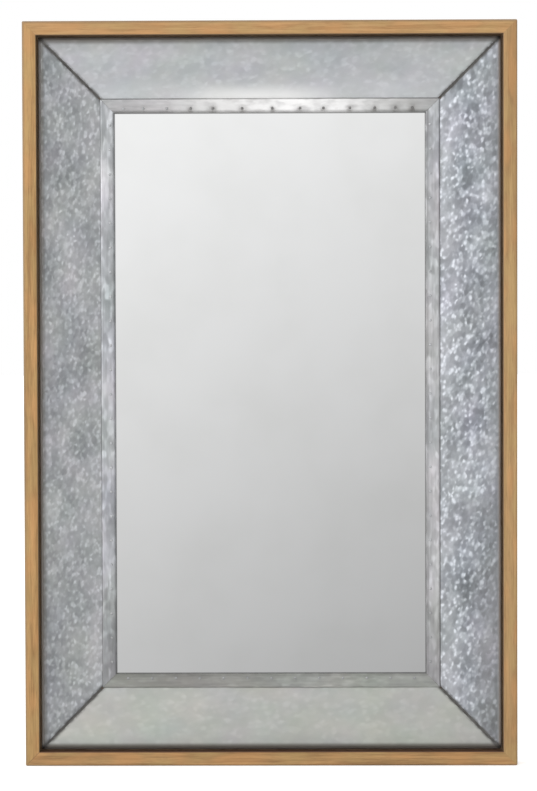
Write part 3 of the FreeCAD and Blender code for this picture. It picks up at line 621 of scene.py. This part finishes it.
def panel_finish(side):
    material, tree, surface, place = new_finish(f"galvanized_panel_{side}")
    turned = mapped(tree, place, Rotation=(0, math.radians(-crystal_turn[side]), 0))
    spot = use_effect(tree, place_in_frame, {"Place": place})
    axes = axes_of(tree, place)
    # Painted light: per-side tone, contrast and glints, the glints denser towards the strip.
    share = zinc_glint[side]
    glint = ease(
        tree, spot["Inset"], glint_start, glint_full, glint_least * share, glint_most * share)
    zinc = use_effect(tree, zinc_crystals, {
        "Place": mapped(tree, turned, Scale=(1, 1, crystal_draw)),
        "Crystals": 1 / crystal_size[side],
        "Contrast": zinc_contrast[side],
        "Glint": glint,
        "Tone": zinc_tone_and_painted_light[side],
        "Facet": facet_tilt * zinc_contrast[side],
    })
    # Painted highlight towards the strip.
    painted_light_share = ease(tree, spot["Inset"], foot_highlight_start, foot_highlight_full, 0.0, foot_highlight_share[side])
    colour = blend_colours(tree, painted_light_share, zinc["Color"], highlight_zinc)
    # Painted highlight near the strip in the middle of the top panel.
    if side == "top":
        off_shine = reckon(tree, "ABSOLUTE", reckon(tree, "SUBTRACT", axes["X"], shine_middle))
        shine = ease(tree, off_shine, shine_half_length, shine_core)
        shine = times(tree, shine, ease(tree, spot["Inset"], shine_start, shine_full))
        colour = blend_colours(tree, times(tree, shine, shine_share), colour, painted_shine_zinc)
    # Painted shade beside the wood.
    shade_share = ease(tree, spot["Inset"], wood_shade_start, wood_shade_full, 0.0, wood_shade_share[side])
    colour = blend_colours(tree, shade_share, colour, shaded_zinc)
    # Painted shade low on the right panel, towards the wood.
    if side == "right":
        low = ease(tree, axes["Z"], low_shade_top, low_shade_foot)
        shade = ease(tree, spot["Inset"], low_shade_start, low_shade_full, 0.0, low_shade_share)
        colour = blend_colours(tree, times(tree, low, shade), colour, shaded_zinc)
    # Painted shade on the fold beside the wood.
    fold_shade = ease(
        tree, spot["Inset"], fold_shade_reach[side], fold_shade_full, 0.0, fold_shade_share[side])
    colour = blend_colours(tree, fold_shade, colour, fold_shade_colour)
    # Painted highlight on the roll of the fold.
    fold_highlight = ease(tree, spot["Inset"], fold_highlight_reach[side], fold_highlight_full, 0.0, fold_highlight_share[side])
    colour = blend_colours(tree, fold_highlight, colour, highlight_zinc)
    # Painted shade along the mitre seams.
    blot = noise(tree, place, seam_shade_blots, 2)[0]
    seam_shade = ease(tree, spot["Mitre"], seam_shade_reach, seam_shade_full, 0.0, seam_shade_share)
    seam_shade = times(tree, seam_shade, ease(tree, blot, 0.36, 0.60, 0.40, 1.05))
    colour = blend_colours(tree, seam_shade, colour, seam_shade_colour)
    coat(tree, surface, colour, zinc["Roughness"], zinc_metallic)
    tree.links.new(zinc["Normal"], surface.inputs["Normal"])
    return material


sheet_dents = uneven("sheet_dents", sheet_dent_size)
for side in sides:
    panel = flat_blank(
        f"metal_panel_{side}", side_length[side], panel_top_edge, panel_foot_edge[side], panel_cell)
    bpy.ops.object.mode_set(mode="EDIT")
    fold_edge(panel_top_edge, panel_fold, panel_bend, panel_bend_steps)
    cut_mitres(side_length[side], panel_seam)
    gape_seams(side)
    bpy.ops.object.mode_set(mode="OBJECT")
    add_modifier(
        panel, "DISPLACE", texture=sheet_dents, texture_coords="LOCAL",
        strength=sheet_dent_depth, mid_level=0)
    thicken_and_lay(panel, side)
    panel.data.materials.append(panel_finish(side))
    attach(panel, "frame")
    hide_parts(f"galvanized_panel_{side}")

# Sight strips: narrow galvanized caps pressed over the battens round the opening and tacked down.
# Both edges are rolled back: the outer one stands a little above the foot of the panel and
# catches the light, and the inner one goes down to the glass.
strip_outer_edge = (0.0025, 0.1261)
strip_inner_edge = (0.0025, 0.149)
strip_outer_lip = 0.0028
strip_inner_lip = 0.0062
strip_roll = 0.0026
strip_roll_steps = 5
strip_seam = 0.0003
strip_cell = 0.0029
strip_dent_size = 0.022
strip_dent_depth = 0.0008
strip_waver_size = 0.045
strip_waver_reach = 0.0007
# Painted light: the four strips are lit and shaded copies of one zinc, each side's tone, crystal
# contrast and glints set by how the light falls on it.
strip_tone_and_painted_light = {
    "bottom": (0.395, 0.399, 0.374, 1),
    "top": (0.425, 0.425, 0.425, 1),
    "left": (0.505, 0.518, 0.540, 1),
    "right": (0.556, 0.560, 0.576, 1),
}
strip_crystal = 0.0105
strip_draw = 0.45
strip_facet = 0.03
strip_contrast = {"bottom": 0.36, "top": 0.30, "left": 0.80, "right": 0.70}
strip_glint = {"bottom": 0.08, "top": 0.10, "left": 0.26, "right": 0.24}
streak_zinc = (0.20, 0.20, 0.20, 1)
streak_share = 0.24
streak_scale = 260
streak_draw = 0.06
# Painted highlight: a broad bright sheen along the middle of the top strip.
painted_strip_shine = (0.95, 0.945, 0.94, 1)
strip_shine_from_left = (-0.30, 0.06)
strip_shine_from_right = (0.29, 0.07)
strip_shine_mottle = 95
# Darker zinc, used towards the left end of the bottom strip, low on the side strips and for the painted
# tack shadows.
darkened_zinc = (0.130, 0.118, 0.108, 1)
bottom_darkening = 0.28
bottom_darkening_half = 0.12
low_darkening = {"bottom": 0.0, "top": 0.0, "left": 0.42, "right": 0.36}
low_darkening_top = 0.36
low_darkening_full = 0.145
# Painted shadow round and just inside each tack, strong on the top strip, where it fades towards the
# left end, and faint on the others.
tack_shadow_share = {"bottom": 0.04, "top": 0.80, "left": 0.04, "right": 0.04}
tack_shadow_from = -0.20
tack_shadow_to = -0.11
tack_shadow_least = 0.15
# Size, spread, inward shift and blotching of the painted tack shadows.
tack_shadow_reach = 0.0045
tack_shadow_spread = 0.011
tack_shadow_neatest = 0.06
tack_shadow_run = 0.0020
tack_shadow_blots = 150
side_inward = {
    "bottom": Vector((0, 0, 1)),
    "top": Vector((0, 0, -1)),
    "left": Vector((1, 0, 0)),
    "right": Vector((-1, 0, 0)),
}
# Painted shade on the rolled edges: the inner roll down to the glass and the outer shoulder beside the
# panel.
strip_edge_shade = (0.060, 0.058, 0.055, 1)
strip_inner_shade = {"bottom": 0.42, "top": 0.45, "left": 0.18, "right": 0.55}
strip_inner_shade_start = 0.1428
strip_inner_shade_full = 0.1488
strip_outer_shade = {"bottom": 0.0, "top": 0.50, "left": 0.40, "right": 0.10}
strip_outer_shade_start = 0.1286
strip_outer_shade_full = 0.1262


def places_of(node):
    """The middle of each separate solid in a CAD node that holds a group of like pieces."""
    mesh = bmesh.new()
    mesh.from_mesh(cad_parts[node].data)
    bmesh.ops.remove_doubles(mesh, verts=mesh.verts, dist=hair / 10)
    waiting = set(mesh.verts)
    middles = []
    while waiting:
        front = [waiting.pop()]
        corners = []
        while front:
            vertex = front.pop()
            corners.append(vertex.co.copy())
            near = [edge.other_vert(vertex) for edge in vertex.link_edges]
            fresh = [other for other in near if other in waiting]
            waiting.difference_update(fresh)
            front.extend(fresh)
        low = Vector([min(corner[axis] for corner in corners) for axis in range(3)])
        high = Vector([max(corner[axis] for corner in corners) for axis in range(3)])
        middles.append((low + high) / 2)
    mesh.free()
    return sorted(middles, key=lambda middle: (round(middle.x, 5), round(middle.z, 5)))


def tack_shadow_size(tack):
    """The painted shadow round a tack is small near the middle of a strip and wider towards its ends.
    """
    return tack_shadow_reach + tack_shadow_spread * abs(tack.x - tack_shadow_neatest)


def mark_tack_shadows(strip, tacks, run):
    """Keep on each vertex how deep it lies in the painted shadow of the nearest tacks, shifted inwards.
    """
    darkening = strip.data.attributes.new("darkening", "FLOAT", "POINT")
    for vertex in strip.data.vertices:
        darkening.data[vertex.index].value = max(
            math.exp(-((vertex.co - tack - run).xz.length / tack_shadow_size(tack)) ** 2) for tack in tacks)


def strip_finish(side):
    material, tree, surface, place = new_finish(f"galvanized_strip_{side}")
    turned = mapped(tree, place, Rotation=grain_turn[side])
    drawn = mapped(tree, turned, Scale=(1, 1, strip_draw))
    spot = use_effect(tree, place_in_frame, {"Place": place})
    axes = axes_of(tree, place)
    # Painted light: per-side tone, contrast and glints.
    zinc = use_effect(tree, zinc_crystals, {
        "Place": drawn,
        "Crystals": 1 / strip_crystal,
        "Contrast": strip_contrast[side],
        "Glint": strip_glint[side],
        "Tone": strip_tone_and_painted_light[side],
        "Facet": strip_facet,
    })
    streak = noise(tree, mapped(tree, turned, Scale=(1, 1, streak_draw)), streak_scale, 2)[0]
    streak = ease(tree, streak, 0.44, 0.66, 0.0, streak_share)
    colour = blend_colours(tree, streak, zinc["Color"], streak_zinc)
    tack_shade = tack_shadow_share[side]
    if side == "top":
        tack_shade = ease(tree, axes["X"], tack_shadow_from, tack_shadow_to, tack_shadow_least, tack_shadow_share[side])
        # Painted highlight across the middle of the top strip, mottled.
        lit = ease(tree, axes["X"], *strip_shine_from_left)
        lit = times(tree, lit, ease(tree, axes["X"], *strip_shine_from_right))
        mottle = noise(tree, drawn, strip_shine_mottle, 2)[0]
        shine = times(tree, lit, ease(tree, mottle, 0.28, 0.60, 0.55, 1.0))
        colour = blend_colours(tree, shine, colour, painted_strip_shine)
    # The bottom strip is darker towards its left end.
    if side == "bottom":
        darkening = ease(tree, axes["X"], bottom_darkening_half, -bottom_darkening_half, 0.0, bottom_darkening)
        colour = blend_colours(tree, darkening, colour, darkened_zinc)
    # The side strips are darker towards the bottom.
    low = ease(tree, axes["Z"], low_darkening_top, low_darkening_full, 0.0, low_darkening[side])
    colour = blend_colours(tree, low, colour, darkened_zinc)
    # Painted shadow round the tacks, broken into blots.
    around = put(tree, "ShaderNodeAttribute", attribute_name="darkening").outputs["Fac"]
    blot = noise(tree, turned, tack_shadow_blots, 2)[0]
    around = times(tree, around, ease(tree, blot, 0.34, 0.60, 0.45, 1.0))
    colour = blend_colours(tree, times(tree, around, tack_shade), colour, darkened_zinc)
    # Painted shade on the inner roll down to the glass, then on the outer shoulder.
    shade_share = ease(tree, spot["Inset"], strip_inner_shade_start, strip_inner_shade_full, 0.0, strip_inner_shade[side])
    colour = blend_colours(tree, shade_share, colour, strip_edge_shade)
    shade_share = ease(tree, spot["Inset"], strip_outer_shade_start, strip_outer_shade_full, 0.0, strip_outer_shade[side])
    colour = blend_colours(tree, shade_share, colour, strip_edge_shade)
    coat(tree, surface, colour, zinc["Roughness"], zinc_metallic)
    tree.links.new(zinc["Normal"], surface.inputs["Normal"])
    return material


strip_dents = uneven("strip_dents", strip_dent_size)
strip_waver = uneven("strip_waver", strip_waver_size)
tack_spots = places_of("strip_tacks")
for side in sides:
    strip = flat_blank(
        f"metal_strip_{side}", side_length[side], strip_outer_edge, strip_inner_edge, strip_cell)
    bpy.ops.object.mode_set(mode="EDIT")
    fold_edge(strip_inner_edge, strip_inner_lip, strip_roll, strip_roll_steps)
    fold_edge(strip_outer_edge, strip_outer_lip, strip_roll, strip_roll_steps)
    cut_mitres(side_length[side], strip_seam)
    bpy.ops.object.mode_set(mode="OBJECT")
    add_modifier(
        strip, "DISPLACE", texture=strip_waver, texture_coords="LOCAL", direction="Z",
        strength=strip_waver_reach, mid_level=0.5)
    add_modifier(
        strip, "DISPLACE", texture=strip_dents, texture_coords="LOCAL",
        strength=strip_dent_depth, mid_level=0)
    thicken_and_lay(strip, side)
    mark_tack_shadows(strip, tack_spots, tack_shadow_run * side_inward[side])
    strip.data.materials.append(strip_finish(side))
    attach(strip, "frame")
    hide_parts(f"sight_strip_{side}")

# Strip tacks: small galvanized tacks hammered through the strips into the battens.
# Their domed heads have dulled to grey; painted shade darkens most of the top row, and the heads are
# darker towards the bottom.
tack_radius = 0.0022
tack_crown = 0.0010
tack_shank = 0.0007
tack_length = 0.009
tack_sink = 0.0003
tack_smooth_angle = math.radians(50)
tack_light = (0.56, 0.57, 0.58, 1)
tack_dark = (0.46, 0.47, 0.48, 1)
tack_metallic = 0.6
# Painted shade on the heads of the top row, fading towards its left end.
shaded_tack = (0.17, 0.163, 0.155, 1)
top_row_start = 1.06
top_row_full = 1.08
# The heads are darker towards the bottom.
low_tack = (0.20, 0.20, 0.19, 1)
low_tack_top = 0.40
low_tack_full = 0.145
low_tack_share = 0.40
point_share = 0.2
head_turn = 2.4
facing_front = math.radians(90)
facing_back = math.radians(-90)


def draw_shank(length, head=0):
    """Draw the selected face down into a straight shank and a point; a sunk head takes its part."""
    draw_out("Z", head - (1 - point_share) * length)
    draw_out("Z", -point_share * length)
    bpy.ops.mesh.merge(type="CENTER")


def seats_of(spots, depth):
    """Bring the places of a group of fasteners to the face that their heads sit on."""
    return [Vector((spot.x, depth, spot.z)) for spot in spots]


def set_in_place(pattern, name, places, facing):
    """Copy a pattern piece to each place, turned a little differently, and join the copies."""
    copies = []
    for index, spot in enumerate(places):
        copy = pattern.copy()
        copy.data = pattern.data.copy()
        bpy.context.scene.collection.objects.link(copy)
        copy.location = spot
        copy.rotation_euler = (facing, index * head_turn, 0)
        copies.append(copy)
    bpy.data.objects.remove(pattern)
    bpy.ops.object.select_all(action="DESELECT")
    for copy in copies:
        copy.select_set(True)
    bpy.context.view_layer.objects.active = copies[0]
    bpy.ops.object.join()
    group = bpy.context.object
    group.name = name
    bpy.ops.object.transform_apply(location=True, rotation=True, scale=True)
    return group


bpy.ops.object.select_all(action="DESELECT")
bpy.ops.mesh.primitive_uv_sphere_add(segments=12, ring_count=8, radius=tack_radius)
tack = bpy.context.object
bpy.ops.object.mode_set(mode="EDIT")
bpy.ops.mesh.select_all(action="SELECT")
bpy.ops.mesh.bisect(plane_co=(0, 0, 0), plane_no=(0, 0, -1), use_fill=True, clear_outer=True)
bpy.ops.mesh.select_all(action="SELECT")
bpy.ops.transform.resize(value=(1, 1, tack_crown / tack_radius))
pick("FACE", lambda middle: middle.z < hair)
bpy.ops.mesh.inset(thickness=tack_radius - tack_shank)
draw_shank(tack_length)
bpy.ops.mesh.select_all(action="SELECT")
bpy.ops.mesh.normals_make_consistent(inside=False)
bpy.ops.object.mode_set(mode="OBJECT")
tack_places = seats_of(tack_spots, strip_outer_edge[0] - tack_sink)
tacks = set_in_place(tack, "tack_heads", tack_places, facing_front)
bpy.ops.object.shade_smooth_by_angle(angle=tack_smooth_angle)

material, tree, surface, place = new_finish("dulled_tack")
steel = use_effect(tree, plated_steel, {"Place": place, "Light": tack_light, "Dark": tack_dark})
axes = axes_of(tree, place)
# Painted shade on the top row of heads.
painted_shade = ease(tree, axes["X"], tack_shadow_from, tack_shadow_to, tack_shadow_least, tack_shadow_share["top"])
painted_shade = times(tree, ease(tree, axes["Z"], top_row_start, top_row_full), painted_shade)
colour = blend_colours(tree, painted_shade, steel["Color"], shaded_tack)
low = ease(tree, axes["Z"], low_tack_top, low_tack_full, 0.0, low_tack_share)
colour = blend_colours(tree, low, colour, low_tack)
coat(tree, surface, colour, ease(tree, steel["Roughness"], 0.28, 0.44, 0.70, 0.84), tack_metallic)
tacks.data.materials.append(material)
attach(tacks, "frame")
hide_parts("strip_tacks")

# Mirror glass: 4 mm float glass, silvered on the back, loose in the rebate of the battens.
# The silver is a little dull, and a painted shadow darkens it along the edge of the opening.
sight = strip_inner_edge[1]
silver = (0.90, 0.905, 0.905, 1)
silver_worn = (0.86, 0.865, 0.86, 1)
edge_shadow = (0.25, 0.25, 0.25, 1)
edge_shadow_start = sight + 0.0022
edge_shadow_full = sight + 0.0004
material, tree, surface, place = new_finish("silvered_glass")
spot = use_effect(tree, place_in_frame, {"Place": place})
haze = ease(tree, noise(tree, place, 6, 4)[0], 0.35, 0.75)
colour = blend_colours(tree, haze, silver, silver_worn)
edge = ease(tree, spot["Inset"], edge_shadow_start, edge_shadow_full)
colour = blend_colours(tree, edge, colour, edge_shadow)
coat(tree, surface, colour, roughness=0.0, metallic=1.0)
dress("mirror_glass", material)

# Filler card: brown card cut to fit behind the glass, which takes up the depth to the back panel.
# It is shut in all round and cannot be seen on the finished mirror.
card_dark = (0.30, 0.21, 0.12, 1)
card_light = (0.38, 0.27, 0.16, 1)
material, tree, surface, place = new_finish("packing_card")
fibre = noise(tree, place, 400, 5)[0]
colour = blend_colours(tree, ease(tree, fibre, 0.35, 0.65), card_dark, card_light)
coat(tree, surface, colour, roughness=0.85)
relief(tree, surface, fibre, strength=0.2, distance=0.0003)
dress("filler_card", material)

# Back panel: one sheet of brown hardboard between the rails, rough mesh side out.
# It closes the back and is held by a row of screws along its edge and another round the glass.
hardboard_dark = (0.120, 0.066, 0.034, 1)
hardboard_light = (0.190, 0.112, 0.062, 1)
weave_shade = (0.080, 0.044, 0.023, 1)
weave_pitch = 0.0022
material, tree, surface, place = new_finish("hardboard")
fibre = noise(tree, place, 260, 6)[0]
cloud = noise(tree, place, 7, 3)[0]
axes = axes_of(tree, place)
weave_x = reckon(tree, "SINE", times(tree, axes["X"], 2 * math.pi / weave_pitch))
weave_z = reckon(tree, "SINE", times(tree, axes["Z"], 2 * math.pi / weave_pitch))
weave = times(tree, weave_x, weave_z)
share = ease(tree, weigh(tree, fibre, cloud, 0.4), 0.36, 0.64)
colour = blend_colours(tree, share, hardboard_dark, hardboard_light)
colour = blend_colours(tree, ease(tree, weave, 0.2, 1.0, 0.0, 0.25), colour, weave_shade)
coat(tree, surface, colour, ease(tree, fibre, 0.3, 0.7, 0.62, 0.78))
mesh_side = reckon(tree, "SUBTRACT", fibre, times(tree, weave, 0.4))
relief(tree, surface, mesh_side, strength=0.35, distance=0.0005)
dress("back_panel", material)

# Back panel screws: pan head wood screws of zinc plated steel, turned, with a pressed cross recess.
# They hold the hardboard to the ledgers and the battens, and their heads stand on its face.
pan_radius = 0.0030
pan_height = 0.0020
pan_crown = 0.0009
pan_shank = 0.0015
pan_length = 0.013
cross_width = 0.0008
cross_length = 0.0034
cross_depth = 0.0013
head_corners = 20
back_face = 0.0210


def cut_cross(screw, top):
    """Press a cross recess into the top of a screw head."""
    for width, length in ((cross_width, cross_length), (cross_length, cross_width)):
        bpy.ops.object.select_all(action="DESELECT")
        bpy.ops.mesh.primitive_cube_add(size=1, location=(0, 0, top))
        punch = bpy.context.object
        punch.scale = (width, length, 2 * cross_depth)
        bpy.ops.object.transform_apply(location=True, rotation=True, scale=True)
        add_modifier(screw, "BOOLEAN", operation="DIFFERENCE", solver="EXACT", object=punch)
        bpy.data.objects.remove(punch)


def pan_screw():
    """A turned screw, its seat at height zero, with a crowned head, a straight shank and a point."""
    bpy.ops.object.select_all(action="DESELECT")
    bpy.ops.mesh.primitive_cylinder_add(
        vertices=head_corners, radius=pan_radius, depth=pan_height, location=(0, 0, pan_height / 2))
    screw = bpy.context.object
    bpy.ops.object.transform_apply(location=True, rotation=True, scale=True)
    bpy.ops.object.mode_set(mode="EDIT")
    pick("FACE", lambda middle: middle.z < hair)
    bpy.ops.mesh.inset(thickness=pan_radius - pan_shank)
    draw_shank(pan_length)
    pick("EDGE", lambda middle: middle.z > pan_height - hair)
    bpy.ops.mesh.bevel(offset=pan_crown, segments=3, affect="EDGES")
    bpy.ops.object.mode_set(mode="OBJECT")
    cut_cross(screw, pan_height)
    return screw


back_places = seats_of(places_of("back_panel_screws"), back_face)
back_screws = set_in_place(pan_screw(), "back_screw_heads", back_places, facing_back)
bpy.ops.object.shade_smooth_by_angle(angle=smooth_angle)
back_screws.data.materials.append(zinc_plate)
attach(back_screws, "frame")
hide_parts("back_panel_screws")

# Corner braces: flat angles stamped from steel sheet and zinc plated.
# One is screwed across the back of each mitre and keeps the glued joint of the rails closed.
brace_light = (0.56, 0.57, 0.58, 1)
brace_dark = (0.36, 0.37, 0.39, 1)
brace_steel = plated("stamped_brace", brace_light, brace_dark)
for corner in ("bottom_left", "top_left", "top_right", "bottom_right"):
    dress(f"corner_brace_{corner}", brace_steel)

# Brace screws: countersunk wood screws of zinc plated steel, with a pressed cross recess.
# They go through the braces into the rails, with their heads flush in the countersinks.
flat_radius = 0.0032
flat_shank = 0.00175
flat_head = 0.00145
flat_length = 0.018
brace_face = 0.0270
bpy.ops.object.select_all(action="DESELECT")
bpy.ops.mesh.primitive_cone_add(
    vertices=head_corners, radius1=flat_shank, radius2=flat_radius, depth=flat_head,
    location=(0, 0, -flat_head / 2))
flat_screw = bpy.context.object
bpy.ops.object.transform_apply(location=True, rotation=True, scale=True)
bpy.ops.object.mode_set(mode="EDIT")
pick("FACE", lambda middle: middle.z < -flat_head + hair)
draw_shank(flat_length, flat_head)
bpy.ops.object.mode_set(mode="OBJECT")
cut_cross(flat_screw, 0)
brace_places = seats_of(places_of("brace_screws"), brace_face)
brace_screws = set_in_place(flat_screw, "brace_screw_heads", brace_places, facing_back)
bpy.ops.object.shade_smooth_by_angle(angle=smooth_angle)
brace_screws.data.materials.append(zinc_plate)
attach(brace_screws, "frame")
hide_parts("brace_screws")

# Strap hangers: a steel strap folded round the bar of each ring and screwed to a side rail.
# The rings are bent from 3 mm wire and swing in the fold of the strap.
strap_light = (0.62, 0.62, 0.61, 1)
strap_dark = (0.43, 0.43, 0.43, 1)
strap_face = 0.0274
ring_light = (0.66, 0.66, 0.66, 1)
ring_dark = (0.48, 0.48, 0.49, 1)
strap_steel = plated("hanger_strap", strap_light, strap_dark)
ring_steel = plated("hanger_ring", ring_light, ring_dark)
for side in ("left", "right"):
    dress(f"hanger_strap_{side}", strap_steel)
    dress(f"hanger_ring_{side}", ring_steel)
hanger_places = seats_of(places_of("hanger_screws"), strap_face)
hanger_screws = set_in_place(pan_screw(), "hanger_screw_heads", hanger_places, facing_back)
bpy.ops.object.shade_smooth_by_angle(angle=smooth_angle)
hanger_screws.data.materials.append(zinc_plate)
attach(hanger_screws, "frame")
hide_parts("hanger_screws")

# Wall bumpers: black rubber buttons on the back of the top and bottom rails, glued on,
# which keep the hardware off the wall that the mirror leans on.
rubber_dark = (0.012, 0.012, 0.012, 1)
rubber_bloom = (0.030, 0.030, 0.029, 1)
material, tree, surface, place = new_finish("bumper_rubber")
bloom = noise(tree, place, 240, 4)[0]
colour = blend_colours(tree, ease(tree, bloom, 0.4, 0.7), rubber_dark, rubber_bloom)
coat(tree, surface, colour, ease(tree, bloom, 0.3, 0.7, 0.62, 0.78))
relief(tree, surface, bloom, strength=0.15, distance=0.0003)
dress("wall_bumpers", material)

# Studio: a pale floor and an even white surround, with a large window on the left.
# The metal sees the room darken low on the right, and the glass sees soft swells of light
# and shade from every side, as in a bright room.
white = (1, 1, 1, 1)
floor_size = 60
floor_dark = (0.80, 0.80, 0.80, 1)
floor_light = (0.83, 0.83, 0.83, 1)
floor_lift = 0.35
room_lean = 0.57
room_start = -0.17
room_end = 0.15
room_dark = 0.42
room_light = 1.09
floor_glow = 0.45
left_glow = 0.30
swell_pitch = 4.98
swell_shift = 0.031
swell_depth = 0.43
swell_middle = 0.715
window_width = 1.6
window_height = 2.2
window_power = 42
window_place = Vector((-3.0, -3.0, 2.1))
window_aim = Vector((0, 0, 0.7))
camera_place = (0.0457, -4.5, 0.7419)
camera_tilt = math.radians(88.339)
camera_roll = math.radians(0.171)
camera_swing = math.radians(0.619)
camera_lens = 123.8
camera_sensor = 36
camera_reach = 200

bpy.ops.object.select_all(action="DESELECT")
bpy.ops.mesh.primitive_plane_add(size=floor_size, location=(0, 0, 0))
floor = bpy.context.object
floor.name = "studio_floor"
floor.visible_glossy = False
material, tree, surface, place = new_finish("pale_floor")
sweep = noise(tree, place, 3, 2)[0]
coat(tree, surface, blend_colours(tree, sweep, floor_dark, floor_light), roughness=0.8)
seen = put(tree, "ShaderNodeLightPath").outputs["Is Camera Ray"]
plug(tree, surface.inputs["Emission Color"], white)
plug(tree, surface.inputs["Emission Strength"], times(tree, seen, floor_lift))
floor.data.materials.append(material)

world = bpy.data.worlds.new("studio")
bpy.context.scene.world = world
world.use_nodes = True
tree = world.node_tree
background = tree.nodes["Background"]
axes = axes_of(tree, put(tree, "ShaderNodeTexCoord").outputs["Generated"])
lean = reckon(tree, "SUBTRACT", axes["Z"], times(tree, axes["X"], room_lean))
wash = put(tree, "ShaderNodeMapRange", {
    "Value": lean, "From Min": room_start, "From Max": room_end,
    "To Min": room_dark, "To Max": room_light}).outputs[0]
below = ease(tree, axes["Z"], -0.20, -0.50, 0.0, floor_glow)
from_left = ease(tree, axes["X"], -0.15, -0.60, 0.0, left_glow)
room = reckon(tree, "ADD", reckon(tree, "ADD", wash, below), from_left)
swell = reckon(tree, "SINE", times(tree, reckon(tree, "ADD", lean, swell_shift), swell_pitch))
in_glass = reckon(tree, "ADD", times(tree, swell, swell_depth), swell_middle)
paths = put(tree, "ShaderNodeLightPath").outputs
room = blend_colours(tree, paths["Is Singular Ray"], room, in_glass)
open_white = reckon(tree, "MAXIMUM", paths["Is Camera Ray"], paths["Is Transmission Ray"])
plug(tree, background.inputs["Color"], blend_colours(tree, open_white, room, white))
plug(tree, background.inputs["Strength"], 1.0)

window = bpy.data.lights.new("left_window", "AREA")
window.shape = "RECTANGLE"
window.size = window_width
window.size_y = window_height
window.energy = window_power
lamp = bpy.data.objects.new("left_window", window)
bpy.context.scene.collection.objects.link(lamp)
lamp.location = window_place
lamp.rotation_euler = (window_aim - window_place).to_track_quat("-Z", "Y").to_euler()

lens = bpy.data.cameras.new("front_camera")
lens.lens = camera_lens
lens.sensor_width = camera_sensor
lens.clip_end = camera_reach
camera = bpy.data.objects.new("front_camera", lens)
bpy.context.scene.collection.objects.link(camera)
camera.location = camera_place
camera.rotation_euler = (camera_tilt, camera_roll, camera_swing)
bpy.context.scene.camera = camera
bpy.context.scene.view_settings.view_transform = "Standard"
